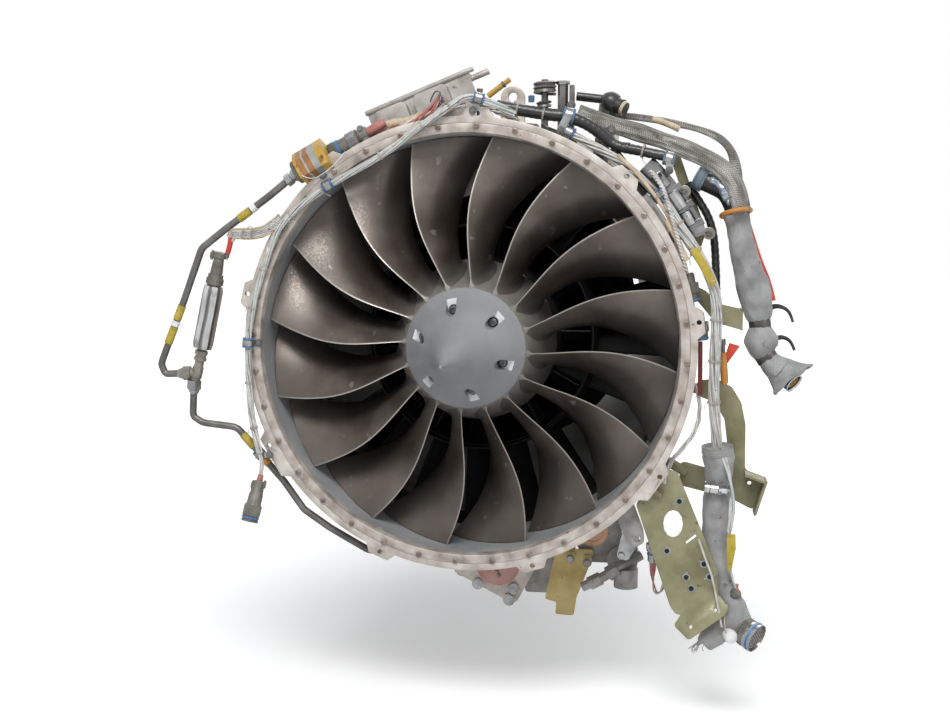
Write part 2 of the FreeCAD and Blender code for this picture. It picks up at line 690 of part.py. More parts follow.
def mount_plate():
    """Triangular front mount of the gearbox, with bolts and the round seal of a drive pad."""
    body = plate([(-52, -318), (-44, -358), (42, -402), (50, -398), (74, -352), (84, -318)], 174.5, 7.5, 6)
    disc = Part.makeCylinder(34, 5, V(21, 170, -341), AXIS)
    bolts = [hexagon((x, 174.5, z), (x, 168, z), 14) for x, z in ((-9, -373), (45, -378), (36, -394))]
    return fused([body, disc] + bolts)


# ---------------------------------------------------------------- left side

TUBE_R = 4.9
SENSOR_FLUTES = 12


def upper_sense_tube():
    return tube([(-246, 18, 218), (-270, 18, 199), (-333, 18, 154), (-367, 18, 128), (-394, 18, 57),
                 (-430, 18, -32), (-424, 18, -46), (-406, 18, -45)], TUBE_R, 22, 8)


def lower_sense_tube():
    return tube([(-384, 18, -73), (-386, 18, -104), (-372, 18, -113), (-323, 18, -118), (-257, 18, -192),
                 (-229, 18, -231), (-193, 20, -256), (-139, 26, -288), (-118, 34, -286)], TUBE_R, 22, 8)


def tube_tee():
    """Flareless tee: a nut towards each tube and a collar under the sensor."""
    run = rod((-373, 18, -20), (-383, 18, -62), 8)
    side_nut = hexagon((-386, 18, -43.9), (-406, 18, -45), 17)
    low_nut = hexagon((-382.9, 18, -56), (-384, 18, -73), 18)
    collar = hexagon((-370.65, 18, -11.93), (-373.67, 18, -25.6), 18)
    return fused([run, side_nut, low_nut, collar])


def pressure_sensor():
    """Pressure sensor: bright fluted drum, plain necks and the eared clamp of its lead."""
    way = V(-19, 0, -86)
    length = way.Length
    way.normalize()
    top = V(-351, 18, 77)
    side = way.cross(AXIS)
    outline = []
    for i in range(2 * SENSOR_FLUTES):
        radius = 12.2 if i % 2 else 10.4
        angle = math.pi * i / SENSOR_FLUTES
        outline.append(top + side * (radius * math.cos(angle)) + AXIS * (radius * math.sin(angle)))
    drum = Part.Face(Part.makePolygon(outline + [outline[0]])).extrude(way * length)
    neck = Part.makeCylinder(9, 40, top, way * -1)
    clamp = hexagon((-341.5, 10, 119), (-341.5, 26, 119), 22)
    stub = rod((-370, 18, -9), (-370.65, 18, -11.93), 6)
    return fused([drum, neck, clamp, stub])


BLOCK_WAY = V(0.8714, 0, 0.4906)
BLOCK_START = V(-223, 6, 233)
BLOCK_END = BLOCK_START + BLOCK_WAY * 44

# routes of the wire bundles that the engine holds all the way
FRONT_R = 4.6
FRONT_ROUTE = [(62, 13, 305), (34, -4, 320), (2, -8, 328), (-19, -8, 313), (-57, -8, 291), (-100, -8, 256),
               (-193, -8, 207), (-247, -8, 164), (-264, -8, 128), (-292, -8, 43), (-297, -8, -10),
               (-295, -8, -67), (-292, -8, -109), (-283, -8, -148)]
RIGHT_ROUTE = [(118, 30, 288), (172, 28, 260), (204, 26, 241), (236, 23, 214), (257, 20, 190), (279, 16, 156),
               (297, 14, 130), (314, 12, 103), (327, 12, 66), (325, 12, 3), (324, 14, -53), (327, 18, -92),
               (331, 24, -128)]


def striped_connector():
    """Six-sided junction block clipped over the flange, with a cap and the hex fitting of the sense tube."""
    block = hexagon(tuple(BLOCK_START), tuple(BLOCK_END), 40)
    cap = hexagon(tuple(BLOCK_START - BLOCK_WAY * 7), tuple(BLOCK_START), 32)
    fitting = hexagon((-246, 18, 218), (-230, 18, 230.7), 15)
    return fused([block, cap, fitting]).cut(band(250, LUG_TOP_R, 0, FLANGE_T))


def front_harness():
    """Wire bundle in front of the ring, from the top of the engine down its left side."""
    bundle = tube(FRONT_ROUTE, FRONT_R, 25, 6)
    branch = tube([(-262, -10, 132), (-290, -5, 151), (-318, 12, 151), (-335, 16, 139)], 5.5, 20, 6)
    return fused([bundle, branch])


def cushion_clamp(route, run, share, radius, width, foot, y_seat):
    """Cushioned P-clamp: a band round the bundle at a share of one of its runs, and a flat tab."""
    start = V(*route[run])
    way = V(*route[run + 1]) - start
    middle = start + way * share
    way.normalize()
    side = V(0, 1, 0).cross(way)
    side.normalize()
    body = hexagon(tuple(middle - way * (width / 2)), tuple(middle + way * (width / 2)), 2 * radius + 4)
    foot_point = V(foot[0], middle.y, foot[1])
    reach = foot_point - middle
    half = way * (width / 2)
    corners = [middle + half, foot_point + half, foot_point - half, middle - half]
    tab = prism([(p.x, p.z) for p in corners], y_seat - 2, 2)
    bore = Part.makeCylinder(radius + 0.1, width + reach.Length,
                             middle - way * (width + reach.Length) / 2, way)
    return body.fuse(tab).cut(bore).cut(band(200, CASE_WALL_R, FLANGE_T, 60))


def ring_clamps():
    front = FRONT_R / math.cos(math.pi / 6)
    right = 6 / math.cos(math.pi / 8)
    return Part.makeCompound([
        cushion_clamp(FRONT_ROUTE, 5, 0.88, front, 12, (-190, 226), -RING_PROUD),
        cushion_clamp(FRONT_ROUTE, 9, 0.76, front, 11, (-283, 2), -RING_PROUD),
        cushion_clamp(FRONT_ROUTE, 1, 0.5, front, 12, (10, 309), 0),
        cushion_clamp(RIGHT_ROUTE, 0, 0.25, right, 12, (120, 262), 31),
        cushion_clamp(RIGHT_ROUTE, 3, 0.6, right, 12, (226, 180), 22),
    ])


# routes of the free cords
PIGTAIL_R = 3.0
PIGTAIL_ROUTE = [(-283, -8, -148), (-280.7, -8, -157.967), (-280.2, -7.8, -168), (-281.1, -8.6, -177.4),
                 (-283, -10.8, -186.5)]


def pigtail_cord():
    return tube(PIGTAIL_ROUTE, PIGTAIL_R, slack, 8)


def pigtail_plug():
    """Free plug at the end of the pigtail: strain clamp, backshell and barrel."""
    end = V(*PIGTAIL_ROUTE[-1])
    way = end - V(*PIGTAIL_ROUTE[-2])
    return stepped_rod(tuple(end), tuple(way), [(8, 9), (26, 7.5), (22, 12)])


def harness_plugs():
    """Mated plugs along the ring: one chain at the upper left, two at the right."""
    left = stepped_rod((BLOCK_END.x, 22, BLOCK_END.z), tuple(BLOCK_WAY), [(44, 12.5), (14, 10), (26, 6)])
    right = stepped_rod((289, 24, 100), (0.2, 0, -1), [(14, 7), (26, 9.5)])
    lower = stepped_rod((303, 24, 50), (0.12, -0.1, -1), [(12, 7), (26, 10.5)])
    return Part.makeCompound([left, right, lower])


# ---------------------------------------------------------------- top

TRAY_START = V(-146, 60, 309)
TRAY_ALONG = V(0.93, 0, 0.37)
TRAY_UP = V(-0.37, 0, 0.93)


def tray_box(u0, u1, v0, v1, y0, y1, corner):
    corners = ((u0, v0), (u1, v0), (u1, v1), (u0, v1))
    points = [TRAY_START + TRAY_ALONG * u + TRAY_UP * v for u, v in corners]
    return plate([(p.x, p.z) for p in points], y0, y1 - y0, corner)


def terminal_tray():
    """Grey tray with a beaded top edge, a shorter second bead behind it and two cast covers in front."""
    bead = rod(tuple(TRAY_START), tuple(TRAY_START + TRAY_ALONG * 158), 3.4)
    rear_start = TRAY_START + TRAY_ALONG * 128 + TRAY_UP * -8 + V(0, 24, 0)
    rear_bead = rod(tuple(rear_start), tuple(rear_start + TRAY_ALONG * 46), 4.2)
    back = tray_box(2, 150, -52, 0, 60, 64, 4)
    shelf = tray_box(118, 150, -12, -2, 60, 88, 1)
    covers = [tray_box(12, 58, -40, -5, 44, 62, 7), tray_box(70, 118, -40, -5, 40, 62, 7)]
    body = fused([bead, rear_bead, back, shelf] + covers)
    return body.cut(band(200, CASE_WALL_R, 20, 120)).Solids[0]


def hoist_bracket():
    """Lifting lug: round-topped ear with a hole, on a foot bolted to the case."""
    ear = plate([(38, 280), (38, 344), (70, 344), (70, 280)], 60, 12, 15.9)
    ear = drilled(ear, [(54, 330, 6)], 60, 12)
    foot = prism([(24, 280), (24, 300), (88, 294), (88, 268)], 50, 34)
    body = ear.fuse(foot)
    return body.cut(band(200, CASE_WALL_R, 20, 120)).Solids[0]


def coil(centre, radius, wire, turns, pitch):
    """One unbroken coil about Z. Each quarter turn is an arc through three points of its helix."""
    def at(turn):
        angle = math.tau * turn
        return V(centre[0] + radius * math.cos(angle), centre[1] + radius * math.sin(angle),
                 centre[2] + pitch * turn)

    edges = []
    for i in range(turns * 4):
        edges.append(Part.Arc(at(i / 4), at((i + 0.5) / 4), at((i + 1) / 4)).toShape())
    profile = section(at(0), V(0, 1, 0), V(0, 0, 1), wire, wire, 4)
    body = Part.Wire(edges).makePipeShell([profile], True, False)
    gap = (at(1) - at(0)).Length - 2 * wire
    print("coil of radius %.1f: least gap between turns %.2f mm" % (radius, gap))
    return body


def coiled_tubes():
    """Spare capillary tube wound in two coils on a post, with its clamp plate."""
    grey = coil((97, 60, 333), 13, 2.0, 3, 5.0)
    brown = coil((96, 60, 313), 8.5, 1.5, 2, 5.0)
    post = hexagon((121, 60, 266), (121, 60, 350), 12)
    stand = hexagon((97, 60, 276), (97, 60, 352), 8)
    wing = prism([(130, 268), (130, 344), (136, 344), (136, 264)], 52, 18)
    foot = prism([(93, 272), (93, 294), (140, 276), (140, 262)], 50, 20)
    frame = fused([post, stand, wing, foot]).cut(band(200, CASE_WALL_R, 20, 120))
    return Part.makeCompound([grey, brown] + frame.Solids[:1])


def black_hoses():
    """Sleeved hoses behind the flange at the upper right, and the wide boot at the harness exit."""
    first = tube([(37, 26, 316), (67, 28, 311), (107, 30, 304), (130, 32, 303), (166, 36, 288),
                  (186, 40, 268)],
                 8, 40, 8)
    second = tube([(200, 34, 262), (228, 32, 257), (257, 29, 250)], 6.5, 40, 8)
    third = tube([(286, 76, 216), (300, 76, 196), (320, 74, 162), (326, 70, 112), (328, 66, 40)],
                 5.2, 60, 8)
    boot = tube([(301, 62, 222), (343, 56.25, 201.5), UPPER_TAIL_ROUTE[0]], 13.5, 60, 12)
    return Part.makeCompound([first, second, third, boot])


def elbow_duct():
    """Round black elbow on a thin pipe above the case, with a capped outlet and a branch down."""
    pipe = rod((137, 92, 332), (178, 91, 327), 6)
    elbow = Part.makeSphere(15, V(183, 90, 323))
    outlet = rod((183, 90, 323), (198, 84, 316), 11)
    cap = rod((197, 84.4, 316.5), (203, 82, 313.6), 9)
    leg = hexagon((178, 90, 322), (168, 90, 236), 18)
    body = fused([pipe, elbow, outlet, cap, leg])
    return body.cut(band(200, CASE_WALL_R, 20, 120)).Solids[0]


BRAID_ROUTE = [(140, 74, 309), (171, 72, 297), (220, 66, 283), (285, 58, 260), (329, 47, 237.5),
               (350, 36, 210), (355.5, 29, 179)]
BRAID_HALF_WIDTH = 12.0
STRAP_ROUTE = [(172, 106, 309), (215, 102, 305), (268, 100, 296), (316, 97, 283), (340, 93, 266),
               (350, 87, 238), (351.5, 80, 196)]
STRAP_HALF_WIDTH = 4.4


def bonding_braid():
    """Wide woven braid over the top right, and a thinner strap that runs behind it."""
    wide = tube(BRAID_ROUTE, 3.0, 120, 4, BRAID_HALF_WIDTH)
    strap = tube(STRAP_ROUTE, 1.6, 60, 4, STRAP_HALF_WIDTH)
    return Part.makeCompound([wide, strap])


def sector(r_in, r_out, y_front, y_back, first, last):
    """Part of a ring between two clock angles."""
    points = [V(0, y_front, r_in), V(0, y_front, r_out), V(0, y_back, r_out), V(0, y_back, r_in)]
    face = Part.Face(Part.makePolygon(points + [points[0]]))
    return clocked(face.revolve(ORIGIN, AXIS, last - first), first)


def bleed_manifold():
    """Bright ribbed air manifold that follows the case, with two bolt lugs."""
    body = sector(318, 347, 40, 78, 44, 64)
    ribs = [sector(316, 350, 37, 80, clock, clock + 1.6) for clock in (51.5, 56, 60.5)]
    feet = [sector(CASE_WALL_R, 319, 48, 66, clock, clock + 3) for clock in (46, 60)]
    lugs = [rod(on_clock(349, clock, 42), on_clock(349, clock, 52), 8) for clock in (54, 64.4)]
    return fused([body] + ribs + feet + lugs)


# ---------------------------------------------------------------- right side

def right_harness():
    """White wire bundle behind the flange, from the top clamp down the right side."""
    upper = tube(RIGHT_ROUTE[:5], 6, 40, 8)
    lower = tube(RIGHT_ROUTE[4:], 8.2, 40, 8)
    return fused([upper, lower])


UPPER_TAIL_ROUTE = [(349, 54, 176), (357, 51, 142), (366, 49, 100), (380, 48, 56), (385, 46, 18),
                    (389, 44, -12), (408, 41, -30)]
LOWER_TAIL_ROUTE = [(333, 33, -178), (331.61, 39.26, -210), (331, 41, -250), (336, 41, -290),
                    (346, 40, -324), (358, 37, -350)]
TAIL_R = 17.0
LOWER_TAIL_R = 15.0


def upper_tail():
    return tube(UPPER_TAIL_ROUTE, TAIL_R, slack, 12)


def upper_plug():
    """Round plug in its flared sleeve end."""
    start = V(*UPPER_TAIL_ROUTE[-1])
    way = start - V(*UPPER_TAIL_ROUTE[-2])
    way.normalize()
    mouth = rod(tuple(start), tuple(start + way * 20), 17, 25)
    barrel = rod(tuple(start), tuple(start + way * 34), 15)
    return mouth.fuse(barrel)


def lower_tail():
    return tube(LOWER_TAIL_ROUTE, LOWER_TAIL_R, slack, 12)


def lower_plug():
    """Large round plug with the bunched end of its sleeve."""
    start = V(*LOWER_TAIL_ROUTE[-1])
    way = start - V(*LOWER_TAIL_ROUTE[-2])
    body = stepped_rod(tuple(start), tuple(way), [(38, 23)])
    barrel = stepped_rod((364, 32, -374), (0.78, -0.55, -0.3), [(20, 18), (12, 20)])
    lobe = rod((354, 34, -374), (334, 26, -394), 19, 10)
    return fused([body, barrel, lobe])


def tail_collar():
    """Sleeve collar and worm clamp at the head of the lower harness tail."""
    sleeve = tube([(331, 24, -128), (334, 28.5, -155), LOWER_TAIL_ROUTE[0]], 19, 40, 10)
    worm = hexagon((320, 11, -168), (344, 11, -171), 9)
    return fused([sleeve, worm])


def strap_bracket():
    """Olive strip bent to a Z, from the case to the harness."""
    return fused([
        prism([(270, 90), (304, 80), (312, 76), (330, 60), (330, 34), (322, 38), (300, 64), (268, 76)],
              44, 2.5),
        prism([(326, 60), (361, 52), (361, 24), (326, 34)], 44, 2.5),
        Part.makeBox(2.5, 30, 28, V(358.5, 44, 24)),
    ]).cut(band(200, CASE_WALL_R, 20, 120)).Solids[0]


def c_bracket():
    """Olive C-shaped plate with a box foot and an inner pad."""
    outline = [(304, -46), (330, -44), (350, -54), (363, -75), (369, -104), (370, -166), (398, -176),
               (384, -222), (352, -206), (283, -190), (283, -156), (342, -171), (345, -128), (341, -98),
               (327, -75), (302, -66)]
    body = plate(outline, 64, 3, 7)
    flange = prism([(395, -174), (398, -176), (384, -222), (381, -221)], 34, 31)
    lip = prism([(369, -166), (398, -176), (397, -179), (368, -169)], 34, 31)
    standoffs = [hexagon((308, 64, -58), (270, 64, -51), 12), hexagon((292, 64, -172), (246, 64, -146), 12)]
    body = fused([body, flange, lip] + standoffs)
    body = drilled(body, [(376, -184, 2.6)], 60, 10)
    return body.cut(band(200, CASE_WALL_R, 20, 120)).Solids[0]


def long_bracket():
    """Long olive plate with a window, a slot and a folded foot."""
    outline = [(226, -208), (262, -158), (280, -163), (309, -232), (336, -298), (337, -328), (291, -358),
               (280, -356), (273, -345)]
    body = plate(outline, 20, 3, 7)
    angles = [math.radians(30 * i) for i in range(12)]
    oval = [(275.5 + 13 * math.cos(a), -233 + 19 * math.sin(a)) for a in angles]
    window = plate(oval, 15, 12, 6)
    slot = prism([(292, -257), (305, -246), (307, -249), (294, -260)], 15, 12)
    outline = [(289, -355), (335.4, -325.5), (352, -344), (346, -354), (300, -390), (279, -372)]
    foot = plate(outline, 20, 3, 5)
    foot = drilled(foot, [(302, -372, 2.4), (334, -348, 2.4)], 16, 10)
    foot.rotate(V(291, 20, -358), V(337 - 291, 0, -328 + 358), -24)
    standoffs = [hexagon((258, 20, -196), (236, 20, -176), 14),
                 hexagon((262, 22, -180), (240, 40, -166), 12)]
    body = body.cut(window).cut(slot)
    body = fused([body, foot] + standoffs)
    return body.cut(band(200, CASE_WALL_R, 12, 120)).Solids[0]


def yellow_bracket():
    """Chromate-yellow hanging strip, necked towards its foot, with two bolts."""
    body = plate([(110, -306), (164, -306), (161, -322), (140, -378), (136, -405), (109, -404), (111, -386),
                  (94, -382)], 140, 3, 3)
    bolts = [hexagon((x, 140, z), (x, 135, z), 12) for x, z in ((132, -315), (155, -319))]
    ties = [Part.makeCylinder(4, 39, V(x, 143, z), AXIS) for x, z in ((122, -318), (112, -330))]
    return fused([body] + bolts + ties)


NODES = [
    fan_case, inlet_retaining_ring, ring_screws, fan_liner, fan_rotor, spinner, spinner_screws,
    fan_shaft, booster_rotor, booster_stator, core_shaft, impeller, core_turbine, fan_turbine,
    bypass_stator, intermediate_case, bearings, diffuser_case, core_case, combustor_liner,
    turbine_nozzles, exhaust_case, bypass_duct, exhaust_mixer, tail_cone, tower_shaft, drive_gear,
    pump_gear, accessory_gearbox, fuel_pump, power_lever, support_arm, mount_plate, upper_sense_tube,
    lower_sense_tube, tube_tee, pressure_sensor, striped_connector, front_harness, ring_clamps,
    pigtail_cord, pigtail_plug, harness_plugs, terminal_tray, hoist_bracket, coiled_tubes, black_hoses,
    elbow_duct, bonding_braid, bleed_manifold, right_harness, upper_tail, upper_plug, lower_tail,
    lower_plug, tail_collar, strap_bracket, c_bracket, long_bracket, yellow_bracket,
]


def print_cord(name, route, radius, solid):
    """The bend radii of a free cord, and its volume against section times length."""
    points = vectors(route)
    radii = []
    for i in range(1, len(points) - 1):
        before = points[i] - points[i - 1]
        after = points[i + 1] - points[i]
        radii.append(slack(min(before.Length, after.Length), before.getAngle(after)))
    path = Part.Wire(path_edges(points, slack))
    share = solid.Volume / (math.pi * radius ** 2 * path.Length)
    text = ", ".join("%.0f" % r for r in radii)
    print("%s: length %.1f, bend radii %s, volume share %.3f" % (name, path.Length, text, share))


def main():
    made = {}
    for node in NODES:
        shape = node()
        made[node.__name__] = shape
        save(node.__name__, shape)
    print_cord("pigtail_cord", PIGTAIL_ROUTE, PIGTAIL_R, made["pigtail_cord"])
    print_cord("upper_tail", UPPER_TAIL_ROUTE, TAIL_R, made["upper_tail"])
    print_cord("lower_tail", LOWER_TAIL_ROUTE, LOWER_TAIL_R, made["lower_tail"])
    print("%d nodes" % len(made))


main()
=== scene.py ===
"""Looks of a small twin-spool turbofan that hangs without its nacelle.

The frame is the CAD's: X right seen from the front, Y towards the tail, Z up, origin on the engine axis in
the front face of the inlet flange. Points are written in millimetres, as in the CAD source, and mm() turns
them into metres. Clock angles run from +Z towards +X.
"""
import math
import random

import bmesh
import bpy
from mathutils import Matrix, Vector, noise


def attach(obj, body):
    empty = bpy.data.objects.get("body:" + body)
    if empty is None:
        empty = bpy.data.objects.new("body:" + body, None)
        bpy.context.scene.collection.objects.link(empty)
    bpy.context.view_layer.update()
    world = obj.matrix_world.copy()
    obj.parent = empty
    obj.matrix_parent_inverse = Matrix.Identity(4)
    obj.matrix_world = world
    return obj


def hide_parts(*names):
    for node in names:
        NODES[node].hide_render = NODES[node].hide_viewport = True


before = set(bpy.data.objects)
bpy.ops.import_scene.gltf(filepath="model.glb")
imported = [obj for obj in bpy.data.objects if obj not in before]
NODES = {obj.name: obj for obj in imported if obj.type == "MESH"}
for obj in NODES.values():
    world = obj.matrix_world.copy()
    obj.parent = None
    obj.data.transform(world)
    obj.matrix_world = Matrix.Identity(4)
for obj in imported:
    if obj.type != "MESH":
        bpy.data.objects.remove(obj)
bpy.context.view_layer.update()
MATERIALS = {}
MM = 0.001
ENGINE = "engine"
TAU = math.tau
random.seed(7)


def mm(point):
    return Vector(point) * MM


def on_clock(radius, clock, y=0.0):
    angle = math.radians(clock)
    return Vector((radius * math.sin(angle), y, radius * math.cos(angle)))


# ---------------------------------------------------------------- node trees

class Nodes:
    """Short ways to add nodes to a tree. Each returns the output that the next node takes."""

    def __init__(self, owner):
        owner.use_nodes = True
        self.nodes, self.links = owner.node_tree.nodes, owner.node_tree.links
        self.shader = self.nodes.get("Principled BSDF")

    def feed(self, socket, value):
        """Joins an output to a socket, or sets the socket to a plain value."""
        if isinstance(value, bpy.types.NodeSocket):
            self.links.new(value, socket)
        else:
            socket.default_value = value

    def add(self, kind, output, inputs=(), **settings):
        node = self.nodes.new("ShaderNode" + kind)
        for key, value in settings.items():
            setattr(node, key, value)
        for name, value in dict(inputs).items():
            self.feed(node.inputs[name], value)
        return node.outputs[output]

    def shade(self, **inputs):
        """Feeds the main shader. Base_Color stands for its input Base Color."""
        for name, value in inputs.items():
            self.feed(self.shader.inputs[name.replace("_", " ")], value)

    def colour(self):
        """The output that gives the main shader its colour so far."""
        return self.shader.inputs["Base Color"].links[0].from_socket

    def coords(self, kind="Object"):
        return self.add("TexCoord", kind)

    def mapped(self, place, **inputs):
        return self.add("Mapping", 0, {"Vector": place, **inputs})

    def maths(self, operation, a, b):
        return self.add("Math", 0, {0: a, 1: b}, operation=operation)

    def reach(self, place):
        return self.add("VectorMath", "Value", {0: place}, operation="LENGTH")

    def spread(self, value, low, high, to_low=0.0, to_high=1.0):
        return self.add("MapRange", "Result", {"Value": value, "From Min": low, "From Max": high,
                                               "To Min": to_low, "To Max": to_high})

    def mixed(self, share, a, b):
        """Colour a, and colour b where share is 1."""
        return self.add("Mix", "Result", {"Factor": share, "A": a, "B": b}, data_type="RGBA")

    def cloud(self, place, scale, detail):
        return self.add("TexNoise", "Fac", {"Vector": place, "Scale": scale, "Detail": detail})

    def relief(self, height, strength, distance):
        self.shade(Normal=self.add("Bump", "Normal",
                                   {"Strength": strength, "Distance": distance, "Height": height}))


# ---------------------------------------------------------------- camera, light and floor

VIEW_AZIMUTH, VIEW_ELEVATION, VIEW_DISTANCE = 8.89, 6.88, 1744.1
VIEW_AIM = (12.45, 0, -10.57)


def linked(name, data):
    """New object for some data, in the scene."""
    found = bpy.data.objects.new(name, data)
    bpy.context.scene.collection.objects.link(found)
    return found


def aim_at(thing, place, aim):
    thing.rotation_euler = (Vector(aim) - Vector(place)).to_track_quat("-Z", "Y").to_euler()


def make_camera():
    """At the photograph's viewing angle: nearly level, a little to the right of the engine axis."""
    azimuth, elevation = math.radians(VIEW_AZIMUTH), math.radians(VIEW_ELEVATION)
    back = Vector((math.sin(azimuth) * math.cos(elevation), -math.cos(azimuth) * math.cos(elevation),
                   math.sin(elevation)))
    data = bpy.data.cameras.new("camera")
    data.lens = 50
    data.sensor_width = 36
    data.clip_start = 0.05
    camera = linked("camera", data)
    camera.location = back * VIEW_DISTANCE * MM
    aim_at(camera, back * VIEW_DISTANCE, VIEW_AIM)
    bpy.context.scene.camera = camera


def make_world():
    """Plain white to the camera and in gloss, and a cool even light to everything else."""
    world = bpy.data.worlds.new("studio")
    world.use_nodes = True
    world.node_tree.nodes.clear()
    nodes = Nodes(world)
    light = nodes.add("Background", 0, {"Color": (0.92, 0.95, 1.0, 1), "Strength": 0.34})
    white = nodes.add("Background", 0, {"Color": (1, 1, 1, 1), "Strength": 1.0})
    rays = nodes.nodes.new("ShaderNodeLightPath").outputs
    seen = nodes.maths("MAXIMUM", rays["Is Camera Ray"], rays["Is Transmission Ray"])
    seen = nodes.maths("MAXIMUM", seen, rays["Is Glossy Ray"])
    output = nodes.nodes.new("ShaderNodeOutputWorld")
    nodes.feed(output.inputs[0], nodes.add("MixShader", 0, {0: seen, 1: light, 2: white}))
    bpy.context.scene.world = world


def area_light(name, place, aim, size, power):
    data = bpy.data.lights.new(name, "AREA")
    data.shape = "RECTANGLE"
    data.size, data.size_y = size
    data.energy = power
    lamp = linked(name, data)
    lamp.location = place
    aim_at(lamp, place, aim)


def make_floor():
    """White floor that fades into the backdrop and keeps the engine's shadow."""
    half, z = 9.0, -0.52
    mesh = bpy.data.meshes.new("floor")
    mesh.from_pydata([(-half, -half, z), (half, -half, z), (half, half, z), (-half, half, z)], [],
                     [(0, 1, 2, 3)])
    floor = linked("floor", mesh)
    material = bpy.data.materials.new("floor")
    nodes = Nodes(material)
    far = nodes.spread(nodes.reach(nodes.coords()), 0.8, 5.0, 0.30, 0.9)
    glow = nodes.maths("MULTIPLY", nodes.add("LightPath", "Is Camera Ray"), far)
    nodes.shade(Base_Color=(0.9, 0.9, 0.9, 1), Roughness=0.9, Emission_Color=(1, 1, 1, 1),
                Emission_Strength=glow)
    mesh.materials.append(material)


# ---------------------------------------------------------------- materials

def rgba(tone, factor=1.0):
    """A tone is a colour, or one number for a grey."""
    tone = (tone,) * 3 if isinstance(tone, float) else tone
    return (*[factor * part for part in tone], 1)


def surface(name, tones, metallic=0.0, rough=(0.4, 0.6), blotch=30.0, grain=600.0, bump=0.15,
            stretch=(1, 1, 1),
            coat=0.0, speck=None, detail=6.0):
    """Procedural finish: a noise runs through the tones, a finer one through the roughness and the bump.
    speck is (tone, share, scale): small worn or dirty spots of another tone."""
    material = MATERIALS[name] = bpy.data.materials.new(name)
    nodes = Nodes(material)
    nodes.shade(Metallic=metallic)
    if coat:
        nodes.shade(Coat_Weight=coat, Coat_Roughness=0.15)
    place = nodes.mapped(nodes.coords(), Scale=stretch)
    ramp = nodes.nodes.new("ShaderNodeValToRGB")
    points = ramp.color_ramp.elements
    for i, tone in enumerate(tones):
        at = 0.28 + 0.44 * i / max(1, len(tones) - 1)
        if i < 2:
            points[i].position = at
            points[i].color = rgba(tone)
        else:
            points.new(at).color = rgba(tone)
    nodes.feed(ramp.inputs["Fac"], nodes.cloud(place, blotch, detail))
    colour = ramp.outputs["Color"]
    fine = nodes.cloud(place, grain, 4)
    if speck:
        tone, share, size = speck
        spots = nodes.spread(nodes.cloud(place, size, 5), 0.72 - share, 0.78 - share)
        colour = nodes.mixed(spots, colour, rgba(tone))
    nodes.shade(Base_Color=colour, Roughness=nodes.spread(fine, 0.3, 0.7, *rough))
    if bump:
        nodes.relief(fine, bump, 0.0006)
    return nodes


def woven(name, tones, cell, rough=(0.75, 0.95), depth=0.5, stain=(0.2, 0.19, 0.17), coords="UV", gap_shade=0.35,
          streaks=0.0):
    """Cloth or braid: two crossed waves with stains over them, along the surface's own U and V, or for a
    piece that has none, across the engine. The low places between the strands are darkened as painted shade.
    streaks is the share of dark strands that run along it."""
    nodes = surface(name, tones, 0, rough, 40, 900, 0, speck=(stain, 0.07, 60), detail=12)
    nodes.shade(Sheen_Weight=0.25)
    place = nodes.coords(coords)
    waves = []
    for angle in (math.radians(45), math.radians(-45)):
        turned = nodes.mapped(place, Rotation=(0, 0, angle) if coords == "UV" else (0, angle, 0))
        waves.append(nodes.add("TexWave", "Fac", {"Vector": turned, "Scale": 1.0 / cell, "Distortion": 0.6,
                                                  "Detail": 1.0}))
    both = nodes.maths("MAXIMUM", *waves)
    nodes.relief(both, depth, 0.0008)
    # Painted shade: darker in the low places between the strands.
    low = nodes.spread(both, 0.35, 0.9, gap_shade, 0.0)
    colour = nodes.mixed(low, nodes.colour(), rgba(tones[0], 0.3))
    if streaks:
        strands = nodes.cloud(nodes.mapped(place, Scale=(360, 26, 1)), 1.0, 4)
        dark = nodes.spread(strands, 0.44, 0.60, 0.0, streaks)
        colour = nodes.mixed(dark, colour, rgba(tones[0], 0.45))
    nodes.shade(Base_Color=colour)


def reflection_banded_steel():
    """Polished drum with painted reflections: pale and dark bands round it, along the surface's own U."""
    nodes = surface("sensor_steel", [0.34, 0.52, 0.66], 0.9, (0.12, 0.24), 24, 500, 0.03, detail=4)
    bands = nodes.add("TexWave", "Fac", {"Vector": nodes.coords("UV"), "Scale": 26.0, "Distortion": 1.2,
                                         "Detail": 1.0, "Detail Scale": 0.6})
    # Painted reflection: the dark bands stand for surroundings seen in the drum's flats.
    dark = nodes.spread(bands, 0.55, 0.12, 0.0, 0.85)
    nodes.shade(Base_Color=nodes.mixed(dark, nodes.colour(), (0.12, 0.115, 0.105, 1)))


